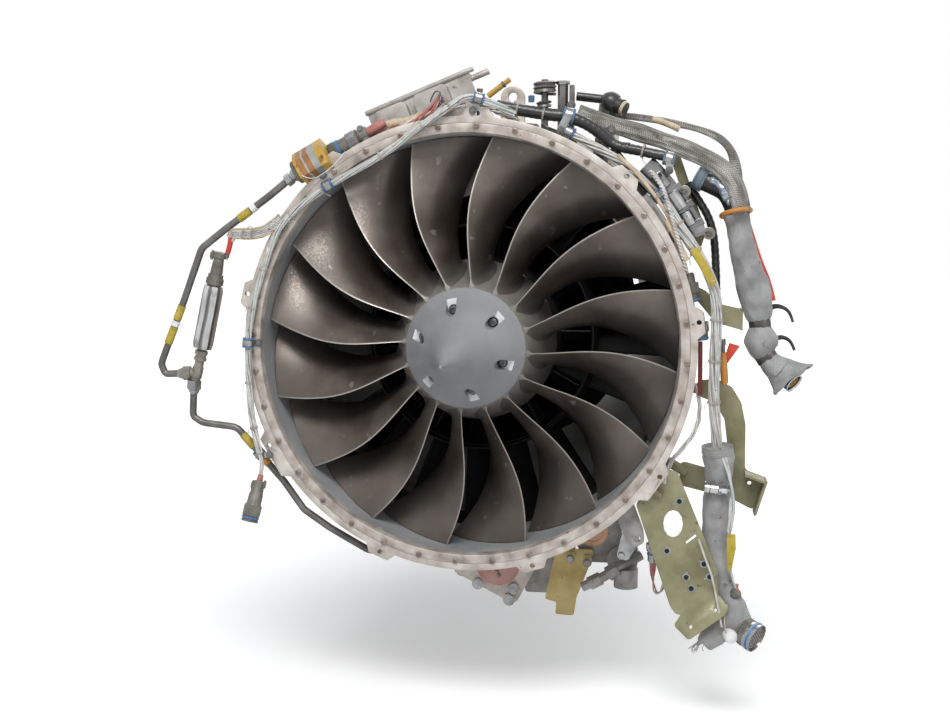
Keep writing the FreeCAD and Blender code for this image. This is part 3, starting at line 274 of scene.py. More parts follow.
def make_materials():
    surface("ring_alloy", [(0.33, 0.285, 0.245), (0.53, 0.48, 0.43), (0.7, 0.665, 0.615)], 0.25,
            (0.36, 0.62), 34, 500, 0.25, speck=((0.25, 0.18, 0.13), 0.05, 130), detail=12)
    surface("retaining_ring", [(0.25, 0.205, 0.175), (0.45, 0.395, 0.35), (0.64, 0.59, 0.54)], 0.35,
            (0.3, 0.55), 46, 500, 0.25, speck=((0.2, 0.14, 0.11), 0.05, 150), detail=12)
    surface("duct_grey", [(0.24, 0.25, 0.26), (0.32, 0.33, 0.335), (0.39, 0.395, 0.4)], 0.1, (0.45, 0.65),
            18, 400, 0.12, speck=((0.42, 0.42, 0.42), 0.06, 70))
    surface("case_alloy", [(0.19, 0.18, 0.17), (0.3, 0.29, 0.275), (0.42, 0.41, 0.39)], 0.4, (0.4, 0.65),
            42, 500, 0.25, speck=((0.11, 0.1, 0.085), 0.05, 110), detail=12)
    surface("duct_alloy", [(0.235, 0.23, 0.22), (0.285, 0.28, 0.27), (0.335, 0.33, 0.32)], 0.35,
            (0.42, 0.6), 9, 500, 0.15, stretch=(1, 0.35, 1), speck=((0.17, 0.16, 0.145), 0.03, 60),
            detail=7)
    surface("frame_alloy", [(0.19, 0.18, 0.17), (0.3, 0.29, 0.275), (0.42, 0.41, 0.39)], 0.2, (0.4, 0.65),
            42, 500, 0.25, speck=((0.11, 0.1, 0.085), 0.05, 110), detail=12)
    surface("tray_alloy", [(0.27, 0.25, 0.225), (0.4, 0.375, 0.345), (0.52, 0.5, 0.465)], 0.3, (0.4, 0.65),
            42, 500, 0.2, speck=((0.16, 0.13, 0.1), 0.05, 110), detail=12)
    surface("hot_steel", [(0.16, 0.12, 0.09), (0.25, 0.2, 0.16), (0.32, 0.28, 0.25)], 0.9, (0.35, 0.6), 20,
            400, 0.12)
    surface("gear_steel", [0.1, 0.17, 0.25], 0.8, (0.25, 0.45), 60, 500, 0.1, detail=10)
    # Painted shade: a near-black finish for the engine's hidden inner parts, recesses, bores and slots, where
    # shade falls.
    surface("painted_shade_black", [0.008, 0.014, 0.02], 0.2, (0.5, 0.8), 30, 300, 0.1)
    surface("olive_primer", [(0.17, 0.158, 0.082), (0.26, 0.246, 0.14), (0.34, 0.327, 0.2)], 0.15,
            (0.3, 0.6), 26, 420, 0.14, speck=((0.12, 0.1, 0.05), 0.04, 90), detail=12)
    surface("yellow_primer", [(0.34, 0.245, 0.085), (0.46, 0.355, 0.14), (0.55, 0.45, 0.22)], 0.25,
            (0.3, 0.55), 28, 420, 0.14, speck=((0.22, 0.14, 0.05), 0.05, 90), detail=12)
    surface("bright_steel", [0.22, 0.35, 0.5], 0.85, (0.12, 0.32), 40, 500, 0.06,
            speck=((0.12, 0.1, 0.08), 0.05, 110), detail=10)
    surface("polished_steel", [0.16, 0.25, 0.36], 1.0, (0.1, 0.24), 40, 500, 0.04,
            speck=((0.08, 0.07, 0.06), 0.05, 110), detail=10)
    surface("band_steel", [(0.06, 0.055, 0.05), (0.1, 0.095, 0.088), (0.17, 0.16, 0.15)], 0.8, (0.25, 0.45),
            90, 600, 0.1, detail=10)
    surface("tube_steel", [(0.095, 0.09, 0.084), (0.14, 0.135, 0.127), (0.2, 0.196, 0.188)], 0.45,
            (0.3, 0.5), 40, 420, 0.1, speck=((0.09, 0.075, 0.06), 0.05, 110), detail=10)
    surface("black_sleeve", [0.006, 0.011, 0.02], 0, (0.28, 0.5), 40, 350, 0.5, coat=0.25)
    surface("plug_grey", [(0.095, 0.092, 0.076), (0.155, 0.15, 0.127), (0.23, 0.22, 0.19)], 0.3,
            (0.38, 0.6), 60, 500, 0.2, speck=((0.05, 0.045, 0.035), 0.06, 140), detail=10)
    surface("clamp_steel", [0.22, 0.33, 0.46], 0.85, (0.2, 0.4), 70, 500, 0.08, detail=10)
    surface("clamp_blue", [(0.055, 0.11, 0.21), (0.08, 0.155, 0.28), (0.12, 0.21, 0.34)], 0, (0.45, 0.7),
            60, 500, 0.2)
    surface("clamp_slate", [(0.075, 0.105, 0.135), (0.12, 0.165, 0.2), (0.18, 0.225, 0.26)], 0, (0.45, 0.7),
            60, 500, 0.2)
    surface("wire_white", [(0.38, 0.36, 0.33), (0.57, 0.55, 0.52), (0.72, 0.71, 0.68)], 0, (0.3, 0.5), 90,
            500, 0.05, speck=((0.26, 0.22, 0.17), 0.06, 150), detail=10)
    surface("wire_mint", [(0.42, 0.47, 0.44), (0.52, 0.57, 0.54), (0.61, 0.66, 0.63)], 0, (0.3, 0.5), 60,
            500, 0.05)
    surface("wire_grey", [(0.36, 0.35, 0.34), (0.46, 0.45, 0.44), (0.54, 0.53, 0.52)], 0, (0.35, 0.55), 60,
            500, 0.08, speck=((0.2, 0.17, 0.14), 0.1, 120))
    surface("tape_tan", [(0.44, 0.34, 0.22), (0.56, 0.45, 0.31), (0.64, 0.54, 0.4)], 0, (0.5, 0.8), 70, 600,
            0.35, speck=((0.24, 0.16, 0.09), 0.12, 90))
    surface("label_yellow", [(0.31, 0.225, 0.02), (0.43, 0.325, 0.035), (0.52, 0.41, 0.075)], 0,
            (0.35, 0.55), 90, 500, 0.05, speck=((0.2, 0.13, 0.03), 0.05, 170), detail=10)
    surface("orange_rubber", [(0.42, 0.16, 0.03), (0.52, 0.22, 0.045), (0.58, 0.27, 0.07)], 0, (0.4, 0.6),
            60, 500, 0.2)
    surface("red_dark", [(0.085, 0.008, 0.006), (0.13, 0.013, 0.01), (0.19, 0.022, 0.016)], 0, (0.35, 0.55),
            50, 500, 0.15)
    surface("red_rubber", [(0.42, 0.035, 0.02), (0.56, 0.05, 0.03), (0.64, 0.08, 0.045)], 0, (0.35, 0.55),
            50, 500, 0.15)
    surface("red_sleeve", [(0.3, 0.09, 0.08), (0.42, 0.15, 0.13), (0.5, 0.24, 0.21)], 0, (0.4, 0.6), 80,
            500, 0.15)
    surface("blue_ring", [(0.04, 0.14, 0.38), (0.06, 0.2, 0.47), (0.09, 0.27, 0.55)], 0, (0.3, 0.45), 60,
            500, 0.05)
    surface("white_and_highlight", [0.74, 0.82, 0.88], 0, (0.45, 0.6), 90, 700, 0.05,
            speck=((0.3, 0.28, 0.26), 0.07, 200))
    surface("cord_tie", [(0.34, 0.3, 0.25), (0.46, 0.42, 0.36), (0.54, 0.5, 0.45)], 0, (0.7, 0.9), 90, 900,
            0.3)
    woven("sleeve_fabric", [0.21, (0.335, 0.335, 0.33), (0.44, 0.44, 0.435)], 0.006,
          stain=(0.15, 0.14, 0.125))
    woven("sleeve_cloth", [0.21, (0.335, 0.335, 0.33), (0.44, 0.44, 0.435)], 0.006,
          stain=(0.15, 0.14, 0.125), coords="Object")
    surface("pin_gold", [(0.42, 0.3, 0.12), (0.55, 0.42, 0.2)], 1.0, (0.25, 0.4), 60, 600, 0.05)
    surface("insert_brown", [(0.06, 0.05, 0.04), (0.11, 0.09, 0.07)], 0, (0.5, 0.7), 60, 500, 0.1)
    surface("insert_rust", [(0.26, 0.11, 0.045), (0.42, 0.2, 0.09)], 0, (0.5, 0.8), 80, 600, 0.2)
    surface("screw_brown", [(0.15, 0.11, 0.085), (0.24, 0.19, 0.155), (0.34, 0.285, 0.24)], 0.5,
            (0.35, 0.55), 80, 600, 0.1)
    surface("label_orange", [(0.46, 0.2, 0.03), (0.58, 0.28, 0.05), (0.62, 0.34, 0.09)], 0, (0.4, 0.6), 80,
            600, 0.1, speck=((0.2, 0.12, 0.05), 0.08, 120))
    surface("label_amber", [(0.36, 0.21, 0.03), (0.5, 0.31, 0.055), (0.58, 0.39, 0.1)], 0, (0.35, 0.55), 80,
            600, 0.1, speck=((0.2, 0.09, 0.02), 0.1, 120), detail=10)
    surface("tape_rust", [(0.19, 0.075, 0.025), (0.29, 0.125, 0.042), (0.38, 0.19, 0.08)], 0, (0.35, 0.55),
            60, 600, 0.1, speck=((0.14, 0.05, 0.015), 0.08, 110), detail=10)
    surface("tape_pale", [(0.22, 0.225, 0.2), (0.33, 0.335, 0.31), (0.46, 0.46, 0.43)], 0, (0.35, 0.55), 60,
            600, 0.1, speck=((0.2, 0.17, 0.12), 0.06, 110), detail=10)
    surface("fitting_alloy", [(0.17, 0.155, 0.13), (0.27, 0.25, 0.215), (0.4, 0.375, 0.33)], 0.5,
            (0.3, 0.5), 60, 500, 0.15, speck=((0.12, 0.09, 0.06), 0.06, 120), detail=10)
    surface("chamber_steel", [0.2, 0.33, 0.46], 1.0, (0.12, 0.28), 60, 500, 0.04,
            speck=((0.1, 0.09, 0.08), 0.07, 120), detail=8)
    surface("chrome", [0.4, 0.55, 0.7], 1.0, (0.1, 0.25), 60, 500, 0.03,
            speck=((0.16, 0.15, 0.14), 0.05, 130), detail=8)
    reflection_banded_steel()
    surface("foil", [(0.1, 0.14, 0.24), (0.3, 0.34, 0.4), (0.62, 0.62, 0.6)], 0.6, (0.2, 0.4), 160, 500,
            0.4, detail=8)
    surface("copper_ring", [(0.36, 0.2, 0.13), (0.48, 0.29, 0.2)], 0.8, (0.3, 0.5), 60, 500, 0.1)
    surface("seal_pink", [(0.33, 0.16, 0.14), (0.46, 0.25, 0.22), (0.54, 0.34, 0.3)], 0.05, (0.5, 0.75), 40,
            500, 0.2, speck=((0.12, 0.09, 0.07), 0.1, 70))
    woven("braid_tin", [(0.21, 0.2, 0.175), (0.37, 0.36, 0.325), (0.54, 0.53, 0.485)], 0.007, (0.45, 0.7),
          0.8, (0.12, 0.11, 0.09), gap_shade=0.6, streaks=0.75)


def blade_material():
    """Dark satin titanium: streaked grey-brown, paler in patches towards the tip, and pale along the leading
    edge.
    Both are partly scouring and wear, partly painted sheen and highlight.
    """
    nodes = surface("blade_metal", [(0.040, 0.030, 0.024), (0.080, 0.064, 0.053), (0.150, 0.128, 0.112)], 0.5,
                    (0.3, 0.5), 16, 380, 0.14, stretch=(1, 0.5, 1), speck=((0.20, 0.18, 0.16), 0.05, 60),
                    detail=12)
    span = nodes.coords("UV")
    chord_share = nodes.add("SeparateXYZ", "X", {0: span})
    height_share = nodes.add("SeparateXYZ", "Y", {0: span})
    # Pale narrow band along the leading edge: partly wear, partly a painted highlight.
    colour = nodes.mixed(nodes.spread(chord_share, 0.022, 0.004), nodes.colour(), (0.42, 0.39, 0.35, 1))
    # Paler in noisy patches towards the tip: partly scouring, partly painted sheen.
    tip = nodes.spread(height_share, 0.42, 1.0, 0.0, 0.8)
    tip_sheen_and_scour = nodes.maths("MULTIPLY", tip, nodes.cloud(nodes.coords(), 9, 8))
    colour = nodes.mixed(tip_sheen_and_scour, colour, (0.30, 0.265, 0.235, 1))
    root = nodes.spread(height_share, 0.16, 0.0, 0.0, 0.55)
    nodes.shade(Base_Color=nodes.mixed(root, colour, (0.27, 0.25, 0.23, 1)))


def spinner_material():
    """Mid-grey satin paint with faint turning marks."""
    nodes = surface("spinner_grey", [(0.32, 0.325, 0.335), (0.39, 0.395, 0.405), (0.46, 0.465, 0.475)], 0.3,
                    (0.3, 0.42), 12, 700, 0.03, speck=((0.45, 0.45, 0.45), 0.04, 90), detail=10)
    along = nodes.add("SeparateXYZ", "Y", {0: nodes.coords()})
    marks = nodes.add("TexNoise", "Fac", {"W": along, "Scale": 900, "Detail": 5}, noise_dimensions="1D")
    nodes.relief(marks, 0.12, 0.0004)


INNER_SHADE_R = 0.279


def paint_inner_shade(name, radius):
    """Painted shade: near black on what lies within a radius of the engine's axis, where the inside of the
    engine is in shade.
    """
    nodes = Nodes(MATERIALS[name])
    reach = nodes.reach(nodes.mapped(nodes.coords(), Scale=(1, 0, 1)))
    share = nodes.spread(reach, radius + 0.004, radius - 0.004)
    nodes.shade(Base_Color=nodes.mixed(share, nodes.colour(), (0.012, 0.011, 0.010, 1)))


# ---------------------------------------------------------------- mesh tools

def add_object(name, mesh, finish, body=ENGINE, smooth=True, replaced=(), slot=None):
    """Piece in the scene with a finish, which rides on a body and may stand for CAD nodes."""
    piece = linked(name, mesh)
    mesh.materials.append(MATERIALS[finish])
    for face in mesh.polygons:
        face.use_smooth = smooth
    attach(piece, body)
    if replaced:
        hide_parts(*replaced)
    return piece


def mesh_of(name, points, faces):
    mesh = bpy.data.meshes.new(name)
    mesh.from_pydata([tuple(p) for p in points], [], faces)
    mesh.validate()
    mesh.update()
    return mesh


def row_faces(rows, count):
    """Faces between rows of count points, each row closed on itself."""
    return [(i * count + j, i * count + (j + 1) % count, (i + 1) * count + (j + 1) % count,
             (i + 1) * count + j)
            for i in range(rows - 1) for j in range(count)]


def end_faces(rows, count):
    return [tuple(range(count)), tuple(reversed(range((rows - 1) * count, rows * count)))]


def basis(way):
    """Unit direction, with a side and an up across it."""
    way = Vector(way).normalized()
    side = way.cross(Vector((0, 1, 0.01)) if abs(way.y) < 0.9 else Vector((0, 0, 1))).normalized()
    return way, side, side.cross(way).normalized()


def around(side, up, angle):
    return side * math.cos(angle) + up * math.sin(angle)


def turned_mesh(name, start, way, rings, sides, radius_at=lambda ring_radius, j: ring_radius, ends=end_faces):
    """Mesh of rings (distance along way, radius) in millimetres. radius_at may change a ring's radius by
    side."""
    way, side, up = basis(way)
    points = [mm(Vector(start) + way * along + around(side, up, TAU * j / sides) * radius_at(radius, j))
              for along, radius in rings for j in range(sides)]
    return mesh_of(name, points, row_faces(len(rings), sides) + ends(len(rings), sides))


def frames_along(path):
    """Unit direction, side and up at each point of a path, carried along without twist."""
    found = []
    up = None
    for i, point in enumerate(path):
        ahead = path[min(i + 1, len(path) - 1)] - path[max(i - 1, 0)]
        ahead.normalize()
        if up is None:
            up = Vector((0, 1, 0.01)) if abs(ahead.y) < 0.9 else Vector((0, 0, 1))
        side = ahead.cross(up).normalized()
        up = side.cross(ahead).normalized()
        found.append((ahead, side, up))
    return found


def sweep(name, path, outline, finish, capped=True, sides=12, **kept):
    """Skin along a path in metres. outline(i, share, angle) gives (side, up) offsets in millimetres for an
    angle, or is a plain radius. UVs run in metres round and along, so that a weave keeps its scale."""
    points, travelled = [], [0.0]
    for i, (_, side, up) in enumerate(frames_along(path)):
        if i:
            travelled.append(travelled[-1] + (path[i] - path[i - 1]).length)
        for j in range(sides):
            angle = TAU * j / sides
            if callable(outline):
                a, b = outline(i, i / (len(path) - 1), angle)
            else:
                a, b = outline * math.cos(angle), outline * math.sin(angle)
            points.append(path[i] + side * a * MM + up * b * MM)
    faces = row_faces(len(path), sides)
    if capped:
        faces += end_faces(len(path), sides)
    mesh = mesh_of(name, points, faces)
    girth = max((points[1] - points[0]).length * sides, 1e-4)
    uv = mesh.uv_layers.new(name="UVMap")
    for face in mesh.polygons:
        columns = [mesh.loops[l].vertex_index % sides for l in face.loop_indices]
        wraps = sides - 1 in columns and 0 in columns
        for l, column in zip(face.loop_indices, columns):
            column = sides if wraps and column == 0 else column
            uv.data[l].uv = (girth * column / sides, travelled[mesh.loops[l].vertex_index // sides])
    return add_object(name, mesh, finish, **kept)


def centreline(route):
    """The points of the smooth NURBS line that a route's points control, in metres."""
    data = bpy.data.curves.new("line", "CURVE")
    data.dimensions = "3D"
    data.resolution_u = 10
    spline = data.splines.new("NURBS")
    spline.points.add(len(route) - 1)
    for at, point in zip(spline.points, route):
        at.co = (*mm(point), 1)
    spline.order_u = 3
    spline.use_endpoint_u = True
    holder = linked("line", data)
    bpy.context.view_layer.update()
    mesh = bpy.data.meshes.new_from_object(holder)
    line = [v.co.copy() for v in mesh.vertices]
    bpy.data.meshes.remove(mesh)
    bpy.data.objects.remove(holder)
    bpy.data.curves.remove(data)
    return line


def resampled(line, step):
    """Points of a line at an even distance in millimetres, in metres."""
    step = step * MM
    found = [line[0].copy()]
    carried = 0.0
    for a, b in zip(line, line[1:]):
        length = (b - a).length
        at = step - carried
        while at <= length:
            found.append(a.lerp(b, at / length))
            at += step
        carried = (carried + length) % step
    if (found[-1] - line[-1]).length > step * 0.3:
        found.append(line[-1].copy())
    return found


def path_of(route, step):
    """Even points along a route's smooth line, in metres."""
    return resampled(centreline(route), step)


def way_at(line, share):
    """Point and direction of a line at a share of its length."""
    points = resampled(line, 2)
    i = min(max(1, int(share * (len(points) - 1))), len(points) - 2)
    return points[i], (points[i + 1] - points[i - 1]).normalized()


def lathe(name, start, way, profile, finish, sides=32, **kept):
    """Turned piece: profile is (distance along way, radius) in millimetres."""
    piece = add_object(name, turned_mesh(name, start, way, profile, sides), finish, **kept)
    sharpen(piece, 30)
    return piece


def slab(name, outline, y_front, thickness, finish, bevel=0.6, **kept):
    """Plate across the engine axis from (x, z) points, with softened edges."""
    count = len(outline)
    points = [mm((x, y_front, z)) for x, z in outline] + [mm((x, y_front + thickness, z)) for x, z in outline]
    faces = [tuple(range(count)), tuple(reversed(range(count, 2 * count)))]
    faces += [(i, i + count, (i + 1) % count + count, (i + 1) % count) for i in range(count)]
    piece = add_object(name, mesh_of(name, points, faces), finish, **kept)
    soften(piece, bevel)
    return piece


def soften(piece, width, segments=2):
    """Rounded edges that catch the light."""
    edge = piece.modifiers.new("edges", "BEVEL")
    edge.width = width * MM
    edge.segments = segments
    edge.limit_method = "ANGLE"
    edge.angle_limit = math.radians(35)
    edge.harden_normals = False
    sharpen(piece, 40)


def sharpen(piece, angle):
    """Smooth shading that breaks at real edges."""
    split = piece.modifiers.new("split", "EDGE_SPLIT")
    split.split_angle = math.radians(angle)


def joined(name, parts, slot=None, *nodes):
    """One piece from several that ride on the same body. Their own materials are kept. It may stand for
    nodes."""
    bpy.context.view_layer.update()
    base = parts[0]
    with bpy.context.temp_override(active_object=base, object=base, selected_objects=parts,
                                   selected_editable_objects=parts):
        bpy.ops.object.join()
    base.name = name
    if nodes:
        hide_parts(*nodes)
    return base


def baked(piece):
    """The piece's mesh with its modifiers worked into it."""
    bpy.context.view_layer.update()
    done = bpy.data.meshes.new_from_object(piece.evaluated_get(bpy.context.evaluated_depsgraph_get()))
    piece.modifiers.clear()
    piece.data = done
    for face in done.polygons:
        face.use_smooth = True
    return done


# ---------------------------------------------------------------- CAD nodes that stay

# Inner parts painted near black as shade.
HIDDEN_INSIDE = ("booster_rotor", "booster_stator", "bypass_stator", "fan_shaft", "core_shaft", "impeller",
                 "bearings", "diffuser_case", "combustor_liner")
FINISHED_NODES = {
    "ring_alloy": ("fan_case", "mount_plate", "hoist_bracket"),
    "retaining_ring": ("inlet_retaining_ring",),
    "duct_grey": ("fan_liner",),
    "duct_alloy": ("bypass_duct",),
    "frame_alloy": ("intermediate_case",),
    "tray_alloy": ("terminal_tray",),
    "hot_steel": ("core_turbine", "fan_turbine", "turbine_nozzles", "exhaust_case", "exhaust_mixer",
                  "tail_cone", "fan_rotor"),
    "gear_steel": ("tower_shaft", "drive_gear", "pump_gear", "spinner_screws", "ring_screws"),
    "case_alloy": ("core_case", "accessory_gearbox", "fuel_pump", "support_arm", "striped_connector",
                   "spinner"),
    "bright_steel": ("power_lever", "pressure_sensor"),
    "polished_steel": ("bleed_manifold",),
    "clamp_steel": ("ring_clamps",),
    "tube_steel": ("upper_sense_tube", "lower_sense_tube", "coiled_tubes"),
    "fitting_alloy": ("tube_tee",),
    "wire_white": ("front_harness", "pigtail_cord", "right_harness"),
    "plug_grey": ("pigtail_plug", "harness_plugs", "upper_plug", "lower_plug"),
    "black_sleeve": ("black_hoses", "elbow_duct"),
    "braid_tin": ("bonding_braid",),
    "sleeve_fabric": ("upper_tail", "lower_tail", "tail_collar"),
    "olive_primer": ("strap_bracket", "c_bracket", "long_bracket"),
    "yellow_primer": ("yellow_bracket",),
    "painted_shade_black": HIDDEN_INSIDE,
}
BEVELLED = {"fan_case": 0.5, "inlet_retaining_ring": 0.4, "c_bracket": 0.5, "long_bracket": 0.5,
            "strap_bracket": 0.5,
            "yellow_bracket": 0.5, "mount_plate": 0.8, "support_arm": 1.5, "power_lever": 0.6,
            "accessory_gearbox": 2.0, "terminal_tray": 0.8, "tube_tee": 0.7, "bleed_manifold": 0.8,
            "hoist_bracket": 1.0, "ring_clamps": 0.4, "fuel_pump": 0.8}


def finish_cad_nodes():
    """Welds each node's split corners in a modifier, rounds what is seen close, and gives it its finish."""
    finish_of = {name: finish for finish, names in FINISHED_NODES.items() for name in names}
    for name, node in NODES.items():
        node.data.materials.clear()
        node.data.materials.append(MATERIALS[finish_of[name]])
        for face in node.data.polygons:
            face.use_smooth = True
        weld = node.modifiers.new("weld", "WELD")
        weld.merge_threshold = 2e-5
        if name in BEVELLED:
            soften(node, BEVELLED[name])
        else:
            sharpen(node, 28)


# ---------------------------------------------------------------- fan

FAN_BLADES = 16
FAN_CLOCK = 6.71
FAN_TIP_R = 277.9
HUB = [(-2.0, 80.0), (42.0, 99.0), (100.0, 112.0)]       # (y, radius) of the hub's outside
EDGE_T = 0.9
# radius, leading edge (clock, y), trailing edge (clock, y), camber, thickness
BLADE_ROWS = [
    (74, -1.8, 4.0, 4.8, 90.0, 46, 8.0),
    (110, -4.3, -1.0, 4.9, 89.0, 46, 7.0),
    (150, -6.0, -0.6, 6.7, 86.0, 42, 5.8),
    (190, -5.6, 8.3, 10.5, 83.5, 34, 4.8),
    (232, -3.3, 22.0, 16.3, 83.0, 20, 3.8),
    (285, 0.6, 36.5, 24.9, 84.0, 6, 2.8),
]
CHORD_STEPS = 26
SPAN_STEPS = 34
ROOT_FILLET = 9.0


def hub_radius(y):
    y = min(max(y, HUB[0][0]), HUB[-1][0])
    for (y0, r0), (y1, r1) in zip(HUB, HUB[1:]):
        if y <= y1:
            return r0 + (r1 - r0) * (y - y0) / (y1 - y0)
    return HUB[-1][1]


def arc_lift(share, rise, peak=0.45):
    """Height of a three-point arc over a chord, at a share of the chord."""
    skew = share / peak * 0.5 if share < peak else 0.5 + (share - peak) / (1 - peak) * 0.5
    return rise * (1 - (2 * skew - 1) ** 2)


def section_point(row, share, over):
    """Point of a blade section in millimetres. share runs from the leading to the trailing edge."""
    radius, le_clock, le_y, te_clock, te_y, camber, thickness = row
    middle = math.radians((le_clock + te_clock) / 2)
    out = Vector((math.sin(middle), 0, math.cos(middle)))
    sideways = Vector((math.cos(middle), 0, -math.sin(middle)))
    reach = radius * math.tan(math.radians((te_clock - le_clock) / 2))
    chord_s, chord_y = 2 * reach, te_y - le_y
    chord = math.hypot(chord_s, chord_y)
    bulge = chord / 2 * math.tan(math.radians(camber) / 4)
    half = EDGE_T / 2 + arc_lift(share, thickness / 2 - EDGE_T / 2)
    near = min(share, 1 - share) * chord
    if near < EDGE_T:
        half *= math.sqrt(max(0.0, 1 - (1 - near / EDGE_T) ** 2))
    lift = arc_lift(share, bulge) + (half if over else -half)
    s = -reach + share * chord_s + chord_y / chord * lift
    y = le_y + share * chord_y - chord_s / chord * lift
    return out * radius + sideways * s + Vector((0, y, 0))


def spline_rows():
    """Natural cubic through the rows, by radius, for each of a row's six values."""
    xs = [row[0] for row in BLADE_ROWS]
    count = len(xs)
    columns = []
    for c in range(1, 7):
        ys = [row[c] for row in BLADE_ROWS]
        h = [xs[i + 1] - xs[i] for i in range(count - 1)]
        lower, diag, right = [0.0] * count, [1.0] * count, [0.0] * count
        upper = [0.0] * count
        for i in range(1, count - 1):
            lower[i], diag[i], upper[i] = h[i - 1], 2 * (h[i - 1] + h[i]), h[i]
            right[i] = 3 * ((ys[i + 1] - ys[i]) / h[i] - (ys[i] - ys[i - 1]) / h[i - 1])
        for i in range(1, count):
            share = lower[i] / diag[i - 1]
            diag[i] -= share * upper[i - 1]
            right[i] -= share * right[i - 1]
        m = [0.0] * count
        m[-1] = right[-1] / diag[-1]
        for i in range(count - 2, -1, -1):
            m[i] = (right[i] - upper[i] * m[i + 1]) / diag[i]
        columns.append((ys, h, m))

    def at(radius):
        i = max(j for j in range(count - 1) if xs[j] <= radius or j == 0)
        t = radius - xs[i]
        values = [radius]
        for ys, h, m in columns:
            b = (ys[i + 1] - ys[i]) / h[i] - h[i] * (2 * m[i] + m[i + 1]) / 3
            values.append(ys[i] + b * t + m[i] * t * t + (m[i + 1] - m[i]) / (3 * h[i]) * t ** 3)
        return values
    return at


BLADE_SEARCH = (74.0, 285.0)


def blade_mesh(row_at):
    """One blade at the top of the fan, from just inside the hub to the tip circle, with a root fillet."""
    shares = [0.5 - 0.5 * math.cos(math.pi * i / CHORD_STEPS) for i in range(CHORD_STEPS + 1)]
    loop = [(s, True) for s in shares] + [(s, False) for s in shares[-2:0:-1]]
    count = len(loop)
    points, tints = [], []
    for step in range(SPAN_STEPS + 1):
        v = step / SPAN_STEPS
        v = v * 0.65 + 0.35 * v * v
        for share, over in loop:
            low, high = BLADE_SEARCH
            for _ in range(26):
                radius = (low + high) / 2
                p = section_point(row_at(radius), share, over)
                if math.hypot(p.x, p.z) < FAN_TIP_R:
                    low = radius
                else:
                    high = radius
            foot = hub_radius(section_point(row_at(100), share, over).y) - 1.5
            radius = foot + (low - foot) * v
            row = row_at(radius)
            p = section_point(row, share, over)
            height = math.hypot(p.x, p.z) - hub_radius(p.y)
            if height < ROOT_FILLET:
                inset = ROOT_FILLET - max(height, 0)
                spread = ROOT_FILLET - math.sqrt(max(0.0, ROOT_FILLET ** 2 - inset ** 2))
                spread *= 0.8
                middle = (section_point(row, share, True) + section_point(row, share, False)) / 2
                away = p - middle
                if away.length < 0.05:
                    ends = section_point(row, 0.0, True) - section_point(row, 1.0, True)
                    away = ends if share < 0.5 else -ends
                p = p + away.normalized() * spread
            points.append(p * MM)
            tints.append((share, v))
    faces = row_faces(SPAN_STEPS + 1, count)
    last = SPAN_STEPS * count
    for j in range(CHORD_STEPS):
        a, b = last + j, last + j + 1
        c, d = last + (count - j) % count, last + count - j - 1
        if j == 0:
            faces.append((a, b, d))
        elif b == d:
            faces.append((a, b, c))
        else:
            faces.append((a, b, d, c))
    mesh = mesh_of("fan_blade", points, faces)
    uv = mesh.uv_layers.new(name="UVMap")
    for loop_data, item in zip(mesh.loops, uv.data):
        item.uv = tints[loop_data.vertex_index]
    return mesh


def make_fan():
    blade_material()
    mesh = blade_mesh(spline_rows())
    for i in range(FAN_BLADES):
        turned = mesh.copy()
        turned.transform(Matrix.Rotation(math.radians(FAN_CLOCK + i * 360.0 / FAN_BLADES), 4, "Y"))
        blade = add_object("fan_blade_%02d" % (i + 1), turned, "blade_metal", "fan_spool", slot="blade_metal")
        sharpen(blade, 50)
    profile = [(0, 66), (0, 79.6)] + [(y + 2, hub_radius(y)) for y in range(0, 101, 10)] + [(102, 98)]
    lathe("fan_hub", (0, -2, 0), (0, 1, 0), profile, "blade_metal", 128, body="fan_spool", slot="blade_metal",
          replaced=("fan_rotor",))


# ---------------------------------------------------------------- spinner

SPINNER_R = 79.9
SPINNER_BASE_Y = -2.0
SPINNER_TIP_Y = -193.7
POCKET_COUNT = 6
POCKET_CIRCLE_R = 54.5
POCKET_CLOCK = 47.0
POCKET_HALF_W = 6.8
POCKET_FLOOR_Y = -20.0


def spinner_profile(count):
    """Slightly hollow flank from the base to the rounded tip: an arc through three (y, radius) points."""
    a, b, c = Vector((SPINNER_BASE_Y, SPINNER_R)), Vector((-45.0, 54.5)), Vector((SPINNER_TIP_Y, 1.2))
    d = 2 * (a.x * (b.y - c.y) + b.x * (c.y - a.y) + c.x * (a.y - b.y))
    ux = (a.length_squared * (b.y - c.y) + b.length_squared * (c.y - a.y)
          + c.length_squared * (a.y - b.y)) / d
    uy = (a.length_squared * (c.x - b.x) + b.length_squared * (a.x - c.x)
          + c.length_squared * (b.x - a.x)) / d
    centre = Vector((ux, uy))
    radius = (a - centre).length
    start = math.atan2(a.y - uy, a.x - ux)
    end = math.atan2(c.y - uy, c.x - ux)
    if end - start > math.pi:
        end -= TAU
    if start - end > math.pi:
        end += TAU
    return [(ux + radius * math.cos(start + (end - start) * i / count),
             uy + radius * math.sin(start + (end - start) * i / count)) for i in range(count + 1)]


POCKET_OUTSIDE = 95.0
POCKET_MOUTH_Y = -90
POCKET_ARC_STEPS = 14
SPINNER_SIDES = 160
SPINNER_RINGS = 48
SCREW_HEAD = [(0, 5.2), (-6.2, 5.2), (-7.2, 4.6), (-7.4, 4.2), (-7.4, 2.7), (-4.4, 2.5), (-4.2, 0.6),
              (-6.0, 0.5)]
SCREW_RECESS = [(-0.3, 6.5), (-0.6, 6.5), (-0.6, 5.3)]


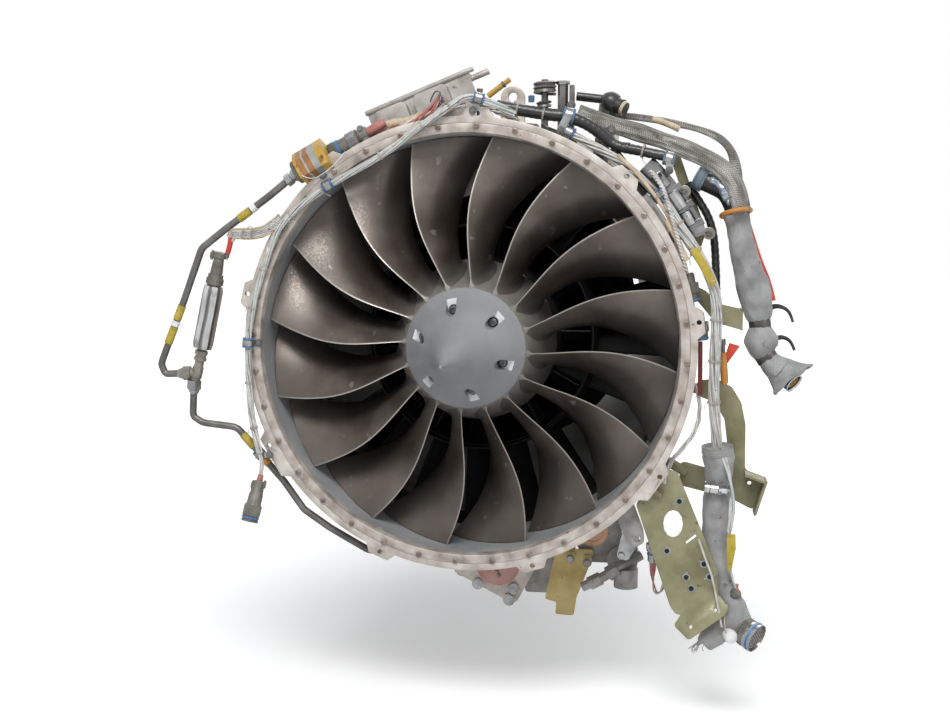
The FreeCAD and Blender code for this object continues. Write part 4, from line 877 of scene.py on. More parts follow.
def pocket_cutters():
    """The six round-ended slots that the screws sit in, as one object to cut with."""
    arc = [math.pi * i / POCKET_ARC_STEPS for i in range(POCKET_ARC_STEPS + 1)]
    outline = [(-POCKET_HALF_W, POCKET_OUTSIDE)]
    outline += [(-POCKET_HALF_W * math.cos(a), POCKET_CIRCLE_R - POCKET_HALF_W * math.sin(a)) for a in arc]
    outline.append((POCKET_HALF_W, POCKET_OUTSIDE))
    cutters = bmesh.new()
    for n in range(POCKET_COUNT):
        turn = Matrix.Rotation(math.radians(POCKET_CLOCK + n * 60), 4, "Y")
        low = [cutters.verts.new(turn @ mm((x, POCKET_FLOOR_Y, z))) for x, z in outline]
        high = [cutters.verts.new(turn @ mm((x, POCKET_MOUTH_Y, z))) for x, z in outline]
        cutters.faces.new(low)
        cutters.faces.new(list(reversed(high)))
        for i in range(len(outline)):
            j = (i + 1) % len(outline)
            cutters.faces.new((low[j], low[i], high[i], high[j]))
    bmesh.ops.recalc_face_normals(cutters, faces=cutters.faces)
    mesh = bpy.data.meshes.new("pockets")
    cutters.to_mesh(mesh)
    cutters.free()
    return linked("pockets", mesh)


def make_spinner():
    """Smooth cone with six pockets cut in, and socket-head screws. The pockets' white floors are partly
    pale bare metal, partly a painted highlight.
    """
    spinner_material()
    rings = spinner_profile(SPINNER_RINGS)
    points = [mm((radius * math.sin(TAU * j / SPINNER_SIDES), y, radius * math.cos(TAU * j / SPINNER_SIDES)))
              for y, radius in rings for j in range(SPINNER_SIDES)]
    tip = len(points)
    points.append(mm((0, SPINNER_TIP_Y - 0.6, 0)))
    last = tip - SPINNER_SIDES
    faces = row_faces(len(rings), SPINNER_SIDES)
    faces += [(last + j, last + (j + 1) % SPINNER_SIDES, tip) for j in range(SPINNER_SIDES)]
    faces.append(tuple(reversed(range(SPINNER_SIDES))))
    cone = add_object("spinner_cone", mesh_of("spinner_cone", points, faces), "spinner_grey", "fan_spool",
                      replaced=("spinner",), slot="spinner_grey")
    cone.data.materials.append(MATERIALS["white_and_highlight"])
    tool = pocket_cutters()
    cut = cone.modifiers.new("pockets", "BOOLEAN")
    cut.operation = "DIFFERENCE"
    cut.solver = "EXACT"
    cut.object = tool
    done = baked(cone)
    bpy.data.objects.remove(tool)
    # Painted highlight, in part: the pockets' floors take the white finish.
    for face in done.polygons:
        if abs(face.center.y - POCKET_FLOOR_Y * MM) < 1e-5 and abs(face.normal.y) > 0.99:
            face.material_index = 1
    sharpen(cone, 25)
    parts = []
    # The screws' hex recesses are painted near black as shade.
    for n in range(POCKET_COUNT):
        centre = on_clock(POCKET_CIRCLE_R, POCKET_CLOCK + n * 60, POCKET_FLOOR_Y)
        for name, profile, finish in (("spinner_screw_%d", SCREW_HEAD, "gear_steel"),
                                      ("spinner_recess_%d", SCREW_RECESS, "painted_shade_black")):
            parts.append(lathe(name % (n + 1), centre, (0, 1, 0), profile, finish, 24, body="fan_spool",
                               slot="gear_steel"))
    joined("spinner_screw_heads", parts, None, "spinner_screws")


# ---------------------------------------------------------------- wires and clamps

FRONT_ROUTE = [(62, 13, 305), (34, -4, 320), (2, -8, 328), (-19, -8, 313), (-57, -8, 291), (-100, -8, 256),
               (-193, -8, 207), (-247, -8, 164), (-264, -8, 128), (-292, -8, 43), (-297, -8, -10),
               (-295, -8, -67), (-292, -8, -109), (-283, -8, -148)]
BRANCH_ROUTE = [(-245, -9, 170), (-262, -9, 155), (-284, -4, 149), (-308, 6, 148), (-322, 12, 148),
                (-325, 15, 140)]
RIGHT_ROUTE = [(118, 30, 288), (172, 28, 260), (204, 26, 241), (236, 23, 214), (257, 20, 190), (279, 16, 156),
               (297, 14, 130), (314, 12, 103), (327, 12, 66), (325, 12, 3), (324, 14, -53), (327, 18, -92),
               (331, 24, -128)]


def wires(name, route, spots, radius, finishes, turns=1.0, loose=0.35, step=4.0, replaced=(),
          slot="wire_white"):
    """Bundle of single wires round one line. spots are (distance, degrees) from the middle in millimetres,
    and finishes names one material for each. The wires twist slowly and wander a little."""
    line = path_of(route, step)
    axes = frames_along(line)
    parts = []
    for n, (distance, angle) in enumerate(spots):
        path = []
        for i, (point, (_, side, up)) in enumerate(zip(line, axes)):
            share = i / (len(line) - 1)
            along = share * len(line) * step
            drift = noise.noise(Vector((n * 7.3, along / 45.0, 1.7)))
            turn = math.radians(angle) + TAU * turns * share + drift * 0.9 * loose
            reach = distance * (1 + loose * 0.35 * noise.noise(Vector((n * 3.1, 5.0, along / 60.0))))
            path.append(point + around(side, up, turn) * reach * MM)
        parts.append(sweep("%s_%02d" % (name, n + 1), path, radius, finishes[n % len(finishes)], sides=7))
    return joined(name, parts, slot, *replaced)


def hexagon_spots(rings, pitch):
    """Close-packed places round a middle one: 1, 7 or 19 of them."""
    spots = [(0.0, 0.0)]
    for ring in range(1, rings + 1):
        for i in range(6 * ring):
            spots.append((ring * pitch * (1.0 if i % ring == 0 else 0.93), 360.0 * i / (6 * ring)))
    return spots


def tie(name, centre, way, radius, tails=1):
    """Waxed lacing tied round a bundle: turns, a knot and free ends."""
    way, side, up = basis(way)
    path = [centre + around(side, up, TAU * 2.5 * i / 48) * (radius + 0.5) * MM
            + way * (i / 48 - 0.5) * 3.2 * MM
            for i in range(49)]
    parts = [sweep(name + "_turns", path, 0.55, "cord_tie", sides=5)]
    for n in range(tails):
        knot = path[0 if n else -1]
        out = (knot - centre).normalized()
        drop = Vector((0, 0, 3 * MM))
        end = [knot, knot + out * 3 * MM, knot + out * 5 * MM + way * (6 - 10 * n) * MM - drop]
        parts.append(sweep("%s_end_%d" % (name, n), end, 0.5, "cord_tie", sides=5))
    return joined(name, parts)


def ties_on(name, route, shares, radius, tails):
    """Lacings at shares of a route's line. tails(i) is the number of free ends of lacing i."""
    line = centreline(route)
    return [tie("%s_%d" % (name, i), *way_at(line, share), radius, tails(i))
            for i, share in enumerate(shares)]


def bolt(name, place, way, across, height, finish, **kept):
    """Hexagon head with a chamfered top on a thin washer."""
    corner = across / math.sqrt(3)
    rings = [(0.8, corner), (height * 0.85 + 0.8, corner), (height + 0.8, corner * 0.84)]
    top = tuple(range(12, 18))
    mesh = turned_mesh(name, place, way, rings, 6, ends=lambda rows, count: [top])
    head = add_object(name + "_head", mesh, finish, smooth=False, **kept)
    soften(head, 0.25)
    washer = lathe(name + "_washer", place, way, [(0, corner + 1.6), (0.8, corner + 1.6)], finish, 24, **kept)
    return [head, washer]


def p_clamp(name, centre, way, radius, tab_end, y_tab, width=12.0, colour="clamp_blue"):
    """Cushioned clamp: a bright band on a blue cushion, with a bolted tab."""
    centre, way = (Vector(centre), Vector(way).normalized())
    half = width / 2
    cushion = lathe(name + "_cushion", centre - way * half, way,
                    [(0, radius + 0.2), (0, radius + 2.2), (1.6, radius + 2.6), (2.4, radius + 1.6),
                     (width - 2.4, radius + 1.6), (width - 1.6, radius + 2.6), (width, radius + 2.2),
                     (width, radius + 0.2)], colour, 28)
    band = lathe(name + "_band", centre - way * (half - 2.8), way,
                 [(0, radius + 1.5), (0, radius + 2.3), (width - 5.6, radius + 2.3),
                  (width - 5.6, radius + 1.5)], "clamp_steel", 28)
    across = Vector((tab_end[0] - centre.x, 0, tab_end[1] - centre.z))
    across.normalize()
    edge = Vector((-across.z, 0, across.x))
    w = (width - 5.6) / 2
    tip = Vector((tab_end[0], y_tab, tab_end[1]))
    start = Vector((centre.x, y_tab, centre.z))
    outline = [start + edge * w, start - edge * w, tip - edge * w * 1.2]
    outline += [tip
                + (across * math.sin(a)
                   - edge * math.cos(a)) * w * 1.2 for a in [math.pi * i / 6 for i in range(1, 6)]]
    outline.append(tip + edge * w * 1.2)
    tab = slab(name + "_tab", [(p.x, p.z) for p in outline], y_tab - 1.6, 1.6, "clamp_steel", 0.3)
    screw = bolt(name + "_bolt", (tip.x, y_tab - 1.6, tip.z), (0, -1, 0), 6.4, 2.4, "gear_steel")
    return [cushion, band, tab] + screw


def make_harness():
    """White harness on the ring, its flat branch, the two runs at the right, and their lacing."""
    white, mint, dull, tan = "wire_white", "wire_mint", "wire_grey", "tape_tan"
    wires("front_wires", FRONT_ROUTE, hexagon_spots(1, 3.1), 1.55,
          [white, white, mint, white, dull, mint, white], 3,
          0.55, replaced=("front_harness",))
    wires("branch_wires", BRANCH_ROUTE, [(6.2, 0), (4.0, 0), (1.4, 0), (1.4, 180), (4.0, 180), (6.2, 180)],
          1.45,
          [tan, white, dull, white, white, tan], 0.0, 0.5, 3)
    ties = ties_on("front_tie", FRONT_ROUTE, (0.135, 0.2, 0.3, 0.43, 0.51, 0.63, 0.71, 0.86, 0.95), 4.7,
                   lambda i: 1 + i % 2)
    ties += ties_on("branch_tie", BRANCH_ROUTE, (0.2, 0.52, 0.7), 6.6, lambda i: i % 2)
    joined("lacing", ties, white)
    wires("right_upper_wires", RIGHT_ROUTE[:5], hexagon_spots(1, 3.9), 1.9, [white, white, dull, white], 1,
          0.5)
    wires("right_lower_wires", RIGHT_ROUTE[4:], hexagon_spots(2, 3.0), 1.5,
          [white, white, dull, white, white, mint],
          0.8, 0.5, replaced=("right_harness",))
    ties = ties_on("right_tie", RIGHT_ROUTE[4:], (0.1, 0.22, 0.5, 0.66, 0.82), 8.0, lambda i: 1)
    joined("right_lacing", ties, white)


def make_clamps():
    """The five cushioned clamps on the ring and on the case."""
    parts = []
    for n, (route, run, share, radius, width, tab, y_tab) in enumerate([(FRONT_ROUTE, 5, 0.88, 5.3, 12,
                                                                         (-190, 226), -0.5),
                                                                        (FRONT_ROUTE, 9, 0.76, 5.3, 11,
                                                                         (-283, 2), -0.5),
                                                                        (FRONT_ROUTE, 1, 0.5, 5.3, 12,
                                                                         (10, 309), 0.0),
                                                                        (RIGHT_ROUTE, 0, 0.25, 6.5, 12,
                                                                         (120, 262), 31.0),
                                                                        (RIGHT_ROUTE, 3, 0.6, 6.5, 12,
                                                                         (226, 180), 22.0)]):
        a, b = (Vector(route[run]), Vector(route[run + 1]))
        parts += p_clamp("clamp_%d" % n, a.lerp(b, share), b - a, radius, tab, y_tab, width + 2)
    joined("cushion_clamps", parts, "clamp_steel", "ring_clamps")


# ---------------------------------------------------------------- free cords

PIGTAIL_ROUTE = [(-283, -8, -148), (-280.7, -8, -157.967), (-280.2, -7.8, -168), (-281.1, -8.6, -177.4),
                 (-283, -10.8, -186.5)]
UPPER_TAIL_ROUTE = [(349, 54, 176), (357, 51, 142), (366, 49, 100), (380, 48, 56), (385, 46, 18),
                    (389, 44, -12),
                    (410, 41, -28)]
LOWER_TAIL_ROUTE = [(333, 33, -178), (331.61, 39.26, -210), (331, 41, -250), (336, 41, -290), (346, 40, -324),
                    (358, 37, -350)]
UPPER_TAIL_R = 17.0
LOWER_TAIL_R = 15.0


def bump_at(share, centre, width):
    return math.exp(-((share - centre) / width) ** 2)


def crumple(seed, share, angle, length):
    """Folds of a loose sleeve: long shallow ones, and sharper creases across them. About -1 to 1."""
    at = Vector((math.cos(angle) * 1.1, math.sin(angle) * 1.1, share * length / 60.0 + seed))
    crease = Vector((math.cos(angle) * 1.9 + seed, math.sin(angle) * 1.9, share * length / 24.0))
    ridge = 1 - 2.2 * abs(noise.noise(crease))
    return 0.65 * noise.noise(at) * 1.6 + 0.35 * ridge


def sleeve(name, route, radius, widths, material, seed, folds, ties=(), sides=56, step=1.6):
    """Loose cloth sleeve along a cord's route. widths are (share, factor) of its girth, folds their depth in
    millimetres, and ties the shares at which it is drawn in."""
    line = path_of(route, step)
    length = step * (len(line) - 1)

    def outline(i, share, angle):
        factor = widths[-1][1]
        for (s0, f0), (s1, f1) in zip(widths, widths[1:]):
            if share <= s1:
                t = (share - s0) / (s1 - s0)
                factor = f0 + (f1 - f0) * t * t * (3 - 2 * t)
                break
        drawn = max([0.0] + [bump_at(share, at, 4.5 / length) for at in ties])
        pleat = 0.7 * drawn * math.cos(9 * angle + seed)
        reach = radius * factor * (1 - 0.16 * drawn) + folds * (1 - 0.6 * drawn) * crumple(seed, share,
                                                                                           angle, length)
        reach += pleat
        return (reach * math.cos(angle), reach * math.sin(angle))

    piece = sweep(name, line, outline, material, sides=sides)
    return (piece, line)


def strap(name, line, share, radius, material, width, tail):
    """Metal band round a sleeve with its free end curled away along a route."""
    point, way = way_at(line, share)
    side = way.cross(Vector((0, 1, 0.01))).normalized()
    up = side.cross(way).normalized()
    points, faces = ([], [])
    count = 40
    for j in range(count):
        angle = TAU * j / count
        out = side * math.cos(angle) + up * math.sin(angle)
        for along, r in ((-width / 2, radius), (width / 2, radius), (width / 2, radius - 1.2),
                         (-width / 2, radius - 1.2)):
            points.append(point + out * r * MM + way * along * MM)
    for j in range(count):
        k = (j + 1) % count
        for a in range(4):
            b = (a + 1) % 4
            faces.append((j * 4 + a, k * 4 + a, k * 4 + b, j * 4 + b))
    parts = [add_object(name + "_band", mesh_of(name, points, faces), material)]
    sharpen(parts[0], 40)
    line2 = path_of(tail, 1.5)

    def flat(i, share2, angle):
        a, b = (math.cos(angle), math.sin(angle))
        return ((4.6 - 2.4 * share2) * a, 0.8 * b)

    parts.append(sweep(name + "_end", line2, flat, material, sides=12))
    return parts


def pin_face(name, place, way, radius, shell, insert, depth=4.0, rings=2):
    """Open end of a round plug: bright shell, coloured band, insert and its rows of contacts."""
    place = Vector(place)
    way, side, up = basis(way)
    parts = [lathe(name + "_shell", place, way,
                   [(-12, radius - 1.5), (-12, radius), (-8, radius + 0.6), (-7, radius),
                                                 (-2.5, radius), (-2, radius + 0.8), (0, radius + 0.8),
                                                 (0.3, radius - 0.3), (-depth, radius - 1.4)], shell, 48),
             lathe(name + "_band", place, way,
                   [(-6.4, radius + 0.1), (-6.4, radius + 0.9), (-4.2, radius + 0.9),
                                                (-4.2, radius + 0.1)], "blue_ring", 48),
             lathe(name + "_insert", place, way, [(-depth - 3, radius - 1.5), (-depth, radius - 1.5)],
                   insert, 40)]
    for r in range(rings + 1):
        count = 1 if r == 0 else 6 * r
        for i in range(count):
            at = place + around(side, up, TAU * i / count) * (radius - 4.0) * r / rings - way * depth
            parts.append(lathe("%s_pin_%d_%d" % (name, r, i), at, way, [(0, 1.0), (2.2, 0.9), (2.8, 0.5)],
                               "pin_gold",
                               8))
    return parts


def knurl(name, place, way, length, radius, count, finish, height=0.8):
    """Coupling ring with a grip of straight ribs."""
    rings = [(0, radius - 0.8), (0.8, radius), (length - 0.8, radius), (length, radius - 0.8)]
    mesh = turned_mesh(name, place, way, rings, count * 4,
                       lambda ring_radius, j: ring_radius + (height if j % 4 in (1, 2) else 0))
    return add_object(name, mesh, finish, smooth=False)


def make_pigtail():
    end, before = (Vector(PIGTAIL_ROUTE[-1]), Vector(PIGTAIL_ROUTE[-2]))
    way = (end - before).normalized()
    lead = wires("pigtail_wires", PIGTAIL_ROUTE, [(1.6, 0), (1.6, 120), (1.6, 240)], 1.5,
                 ["wire_mint", "wire_white", "wire_white"], 0.3, 0.2, 1.5, replaced=("pigtail_cord",))
    line = path_of(PIGTAIL_ROUTE, 1.5)
    parts = [lathe("pigtail_boot", end - way * 9, way, [(0, 3.6), (7, 4.2), (10, 4.4)], "red_sleeve", 20),
             lathe("pigtail_backshell", end, way, [(0, 6.5), (1.5, 7.5), (9, 7.5), (11, 8.6), (17, 8.8),
                                                   (19, 9.6), (31, 9.8), (33, 10.4)], "plug_grey", 40),
             knurl("pigtail_ring", end + way * 33, way, 15, 11.2, 22, "plug_grey")]
    for turn in (-1, 1):
        ear = end + Vector((turn * 8.2, 0, 0)) + way * 1
        parts.append(lathe("pigtail_ear_%d" % (turn + 1), ear, way, [(0, 2.6), (8, 2.6)], "plug_grey", 12))
        parts.append(lathe("pigtail_screw_%d" % (turn + 1), ear - way * 2, way, [(0, 1.7), (12, 1.7)],
                           "gear_steel", 10))
    # The plug's recessed insert is painted near black as shade.
    parts += pin_face("pigtail_mouth", end + way * 56, way, 10.8, "plug_grey", "painted_shade_black")
    plug = joined("pigtail_connector", parts, "plug_grey", "pigtail_plug")
    tuple(line[0])
    [tuple(p) for p in line]


def make_upper_tail():
    cloth, line = sleeve("upper_sleeve", UPPER_TAIL_ROUTE, UPPER_TAIL_R,
                         [(0, 0.98), (0.12, 0.91), (0.28, 1.0), (0.47, 1.25), (0.6, 1.1), (0.675, 0.81),
                          (0.78, 1.27), (0.885, 0.84), (1, 1.06)], "sleeve_fabric", 3.0, 2.9,
                         (0.675, 0.885))
    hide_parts("upper_tail")
    start = Vector(UPPER_TAIL_ROUTE[-1])
    way = (start - Vector(UPPER_TAIL_ROUTE[-2])).normalized()
    skirt_line = [mm(start + way * d) for d in (-14, -9, -4, 0, 4, 8, 11, 14, 17, 19)]
    sides = 72

    def skirt(i, share, angle):
        reach = 13.5 + 15.5 * share ** 1.1 + (0.4 + 2.2 * share) * math.sin(3 * angle + 0.8)
        reach += (0.8 + 2.8 * share) * noise.noise(Vector((math.cos(angle) * 2.4, math.sin(angle) * 2.4,
                                                           share * 2)))
        return (reach * math.cos(angle), 0.84 * reach * math.sin(angle))

    mouth = sweep("upper_sleeve_mouth", skirt_line, skirt, "sleeve_fabric", capped=False, sides=sides,
                  slot="sleeve_fabric")
    for vertex in mouth.data.vertices:
        row, column = divmod(vertex.index, sides)
        share = row / (len(skirt_line) - 1)
        flap = 7 * math.cos(TAU * column / sides - 0.35) + 1.5 * math.sin(5 * TAU * column / sides)
        vertex.co += way * flap * share * share * MM
    hem = sweep("upper_sleeve_hem",
                [mouth.data.vertices[i].co.copy() for i in [*range((len(skirt_line) - 1) * sides,
                                                                   len(skirt_line) * sides),
                                                            (len(skirt_line) - 1) * sides]], 1.5,
                "sleeve_fabric", sides=8, slot="sleeve_fabric")
    thick = mouth.modifiers.new("cloth", "SOLIDIFY")
    thick.thickness = 1.4 * MM
    turned = Vector((0.66, -0.52, -0.54)).normalized()
    root = start + way * 2
    parts = [knurl("upper_plug_ring", root + turned * 2, turned, 11, 12.4, 26, "plug_grey")]
    parts += [lathe("upper_plug_body", root - way * 8, way, [(0, 10), (4, 11.5), (10, 11.5)], "plug_grey",
                    40)]
    parts += pin_face("upper_plug_mouth", root + turned * 25, turned, 12.6, "chrome", "insert_brown", 5, 3)
    plug = joined("upper_connector", parts, "plug_grey", "upper_plug")
    straps = strap("upper_strap_a", line, 0.675, 14.4, "band_steel", 13,
                   [(384, 60, 38), (391, 57, 50), (402, 51, 57), (414, 46, 55), (422, 44, 47),
                    (425, 44, 36)])
    straps += strap("upper_strap_b", line, 0.885, 14.4, "band_steel", 10,
                    [(394, 57, -4), (399, 54, 8), (408, 50, 16), (418, 46, 15), (425, 44, 8),
                     (428, 44, -1)])
    held = joined("upper_straps", straps, "gear_steel")
    tuple(line[0])
    [tuple(p) for p in line]


def make_lower_tail():
    cloth, line = sleeve("lower_sleeve", LOWER_TAIL_ROUTE, LOWER_TAIL_R,
                         [(0, 0.98), (0.14, 1.14), (0.4, 1.12), (0.6, 1.02), (0.8, 0.9), (1, 1.1)],
                         "sleeve_fabric", 9.0, 2.3, (0.035,), 52)
    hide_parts("lower_tail")
    make_lower_tail_pieces(cloth, line)


def lumps(name, blobs, finish, voxel=2.2, relief=1.4, seed=3.0, **kept):
    """Crumpled cloth bag: rounded forms melted into one skin, then creased. blobs are rows of
    (x, y, z, radius) that run into each other."""
    tool = bmesh.new()
    for row in blobs:
        for start, end in zip(row, row[1:]):
            for i in range(7):
                x, y, z, radius = (a + (b - a) * i / 6 for a, b in zip(start, end))
                bmesh.ops.create_icosphere(tool, subdivisions=2, radius=radius * MM,
                                           matrix=Matrix.Translation(mm((x, y, z))))
    mesh = bpy.data.meshes.new(name)
    tool.to_mesh(mesh)
    tool.free()
    piece = add_object(name, mesh, finish, **kept)
    melt = piece.modifiers.new("melt", "REMESH")
    melt.mode = "VOXEL"
    melt.voxel_size = voxel * MM
    calm = piece.modifiers.new("calm", "SMOOTH")
    calm.iterations = 6
    for vertex in baked(piece).vertices:
        p = vertex.co / MM
        fold = 1 - 2.4 * abs(noise.noise(Vector((p.x / 13 + seed, p.y / 13, p.z / 17))))
        soft = noise.noise(Vector((p.x / 26, p.y / 26 + seed, p.z / 26)))
        vertex.co += vertex.normal * (0.6 * fold + 0.7 * soft) * relief * MM
    return piece


def ring_round(name, centre, across, up, r_across, r_up, thick, material, **kept):
    """Closed ring of round section, such as a rubber band."""
    across, up = Vector(across).normalized(), Vector(up).normalized()
    points, faces = [], []
    count, sides = 48, 12
    for i in range(count):
        angle = TAU * i / count
        middle = Vector(centre) + across * math.cos(angle) * r_across + up * math.sin(angle) * r_up
        out = (across * math.cos(angle) + up * math.sin(angle)).normalized()
        axis = across.cross(up).normalized()
        for j in range(sides):
            turn = TAU * j / sides
            points.append(mm(middle + (out * math.cos(turn) + axis * math.sin(turn)) * thick))
    for i in range(count):
        for j in range(sides):
            k, m = (i + 1) % count, (j + 1) % sides
            faces.append((i * sides + j, i * sides + m, k * sides + m, k * sides + j))
    return add_object(name, mesh_of(name, points, faces), material, **kept)


def make_lower_tail_pieces(cloth, line):
    """Cuff, worm clamp, bunched end, plug and the loose wires beside the lower tail."""
    cuff_line = path_of([(331, 24, -128), (333, 27, -146), (333.5, 31, -164), (333, 33, -180)], 1.2)

    def cuff(i, share, angle):
        if share < 0.5:
            base = 19.6 - 1.2 * math.cos(share * 12)
        else:
            base = 18.6 - 3.4 * bump_at(share, 1.05, 0.25)
        base += 1.5 * crumple(4.0, share, angle, 55) + 0.9 * math.sin(7 * angle + 1) * bump_at(share, 0.98,
                                                                                               0.2)
        return (base * math.cos(angle), base * 0.93 * math.sin(angle))

    collar = sweep("cuff", cuff_line, cuff, "sleeve_fabric", sides=60)
    hem_line = [cuff_line[0] + Vector((0, 0, 1.0 * MM))] + cuff_line[1:8]
    hem = sweep("cuff_hem", hem_line, lambda i, s, a: ((20.6 + 0.5 * math.sin(3 * a)) * math.cos(a),
                                                       (19.4 + 0.5 * math.sin(2 * a)) * math.sin(a)),
                "sleeve_fabric", sides=60)
    stitch = []
    for row, at in ((0, 9.0), (1, 26.0)):
        for i in range(26):
            angle = TAU * i / 26
            place = Vector((331 + 20.9 * math.cos(angle), 24.6 + 19.6 * math.sin(angle) + row,
                            -128 - at * 0.9))
            if math.sin(angle) > 0.4:
                continue
            along = Vector((-math.sin(angle), math.cos(angle), 0))
            stitch.append(sweep("stitch_%d_%d" % (row, i), [mm(place - along * 1.5), mm(place),
                                                            mm(place + along * 1.5)], 0.35, "cord_tie",
                                sides=4))
    collar = joined("lower_cuff", [collar, hem] + stitch, "sleeve_fabric", "tail_collar")
    centre, way = (Vector((332.7, 34, -183.5)), Vector((-0.04, 0.19, -0.98)).normalized())
    band = [lathe("worm_band", centre - way * 4.5, way, [(0, 15.0), (0, 16.6), (1, 16.9), (8, 16.9),
                                                         (9, 16.6), (9, 15.0)], "clamp_steel", 56)]
    # The band's slots and the worm's groove are painted near black as shade.
    for i in range(16):
        angle = math.pi * (1.0 + (i + 0.5) / 16)
        out = Vector((math.cos(angle), math.sin(angle), 0))
        band.append(lathe("worm_slot_%d" % i, centre + out * 16.8 - Vector((0, 0, 2)), (0, 0, 1),
                          [(0, 0.5), (4, 0.5)], "painted_shade_black", 6))
    house = [lathe("worm_house", (315, 12.0, -180.5), (1, 0, -0.1),
                   [(0, 2.5), (0.5, 7.0), (18, 7.0), (19, 5.2)], "chrome", 24),
             lathe("worm_groove", (322, 12.0, -181.2), (1, 0, -0.1), [(0, 7.2), (0.9, 7.2)], "painted_shade_black",
                   24), lathe("worm_screw", (334, 12.0, -182.4), (1, 0, -0.1),
                              [(0, 3.6), (3, 3.6), (3.4, 6.2), (10, 6.2), (11, 5.2)], "chrome", 6),
             lathe("worm_end", (345, 12.0, -183.5), (1, 0, -0.1), [(0, 3.2), (4, 3.2), (4.6, 2.2)],
                   "clamp_steel", 12)]
    joined("worm_clamp", band + house, "bright_steel")
    start = LOWER_TAIL_ROUTE[-1]
    bunch = lumps("lower_bunch", [[(351, 38.5, -336, 14.5), (start[0], start[1], start[2], 17),
                                   (361, 35, -366, 20), (368, 30, -377, 17)],
                                  [(356, 37, -358, 16), (346, 34, -378, 14), (334, 28, -392, 10),
                                   (329, 26, -398, 8)], [(350, 38, -362, 14), (330, 34, -384, 11),
                                                         (317, 30, -394, 6)],
                                  [(352, 36, -340, 10), (357, 34, -331, 5)]], "sleeve_cloth", 2.0, 3.2,
                  slot="sleeve_fabric", replaced=("lower_plug",))
    parts = []
    rng = random.Random(5)
    for i in range(13):
        a = Vector((318 + rng.uniform(-3, 3), 28 + rng.uniform(-3, 3), -395 + rng.uniform(-3, 3)))
        b = a + Vector((-9 + rng.uniform(-5, 6), rng.uniform(-4, 3), -7 + rng.uniform(-7, 4)))
        c = b + Vector((rng.uniform(-5, 3), rng.uniform(-3, 2), rng.uniform(-5, 1)))
        parts.append(sweep("fray_%d" % i, [mm(a), mm((a + b) / 2 + Vector((0, 0, 1))), mm(b), mm(c)], 0.6,
                           "wire_grey", sides=5))
    parts.append(sweep("fray_string", path_of([(352, 30, -333), (347, 16, -345), (344, 10, -366),
                                               (350, 8, -380)], 2), 0.9, "cord_tie", sides=6))
    frays = joined("frayed_ends", parts, "wire_white")
    cap = lathe("white_cap", (353, 15, -381), (0.35, -0.9, -0.1),
                [(-6, 8.0), (0, 9.0), (4, 9.2), (7, 8.2), (8.6, 5.5), (9.0, 0.5)], "white_and_highlight", 28,
                slot="wire_white")
    place, way = (Vector((364, 32, -374)), Vector((0.78, -0.55, -0.3)).normalized())
    shell = [lathe("lower_shell", place, way, [(2, 18), (10, 18.4), (11, 17.4), (20, 17.4)], "plug_grey",
                   56), knurl("lower_ring", place + way * 11, way, 10, 18.6, 34, "plug_grey")]
    shell += pin_face("lower_mouth", place + way * 31, way, 19.3, "bright_steel", "insert_rust", 5, 4)
    plug = joined("lower_connector", shell, "plug_grey")
    knob = [lathe("knob_body", (352, 30, -334), (0.7, -0.3, 0.75),
                  [(0, 5), (6, 5.5), (9, 7.5), (15, 7.5), (16, 6)], "plug_grey", 24),
            lathe("knob_sleeve", (360, 27, -325), (0.1, -0.1, 1), [(0, 2.6), (12, 2.2)], "red_sleeve", 14)]
    small = joined("tail_knob", knob, "plug_grey")
    tuple(line[0])
    [tuple(p) for p in line]
    wires("tail_side_wires", [(334, 10, -126), (344, 10, -150), (351, 12, -182), (353, 16, -212),
                              (349, 20, -240)], [(1.9, 0), (1.9, 180)], 1.8, ["wire_white", "wire_mint"],
          0.6, 0.2)
    wires("tail_cross_wire", [(309, 14, -250), (318, 12, -276), (328, 12, -300), (336, 12, -338),
                              (342, 14, -370)], [(0, 0)], 1.5, ["wire_white"], 0, 0.0)
    wires("tail_low_wire", [(350, 20, -240), (350, 22, -272), (352, 24, -300), (361, 26, -322)], [(0, 0)],
          1.6, ["wire_white"], 0, 0.0)
    slab("wire_tag", [(346, -243), (357, -243), (358, -262), (353, -292), (348, -294), (346, -268)], 16,
         1.0, "label_yellow", 0.3, slot="wire_white")


# ---------------------------------------------------------------- pieces round the ring

def make_ring_hardware():
    """Domed heads of the ring's screws, with their recesses."""
    parts = []
    for i in range(36):
        clock = 2.87 + i * 10
        place = on_clock(290, clock, -2.2)
        parts.append(lathe("ring_screw_%02d" % i, place, (0, -1, 0),
                           [(0, 3.9), (0.7, 3.8), (1.25, 2.9), (1.4, 1.5), (0.5, 1.3), (0.5, 0.2)],
                           "screw_brown", 18))
    joined("ring_screw_heads", parts, "gear_steel", "ring_screws")


def band_on(name, a, b, radius, material, wall=0.5, **kept):
    """Wrapped label or sleeve on a straight tube between two points."""
    a, b = (Vector(a), Vector(b))
    length = (b - a).length
    return lathe(name, a, b - a, [(0, radius), (0.2, radius + wall), (length - 0.2, radius + wall),
                                  (length, radius)], material, 24, **kept)


def with_corners(route, reach):
    """Route of a bent pipe: a control point before and after each corner keeps its legs straight."""
    points = [Vector(p) for p in route]
    found = [points[0]]
    for before, corner, after in zip(points, points[1:], points[2:]):
        arrive, leave = before - corner, after - corner
        angle = math.pi - arrive.angle(leave)
        bend = 2 * reach * math.tan(angle / 2)
        found.append(corner + arrive.normalized() * min(bend, arrive.length * 0.49))
        found.append(corner)
        found.append(corner + leave.normalized() * min(bend, leave.length * 0.49))
    found.append(points[-1])
    return found


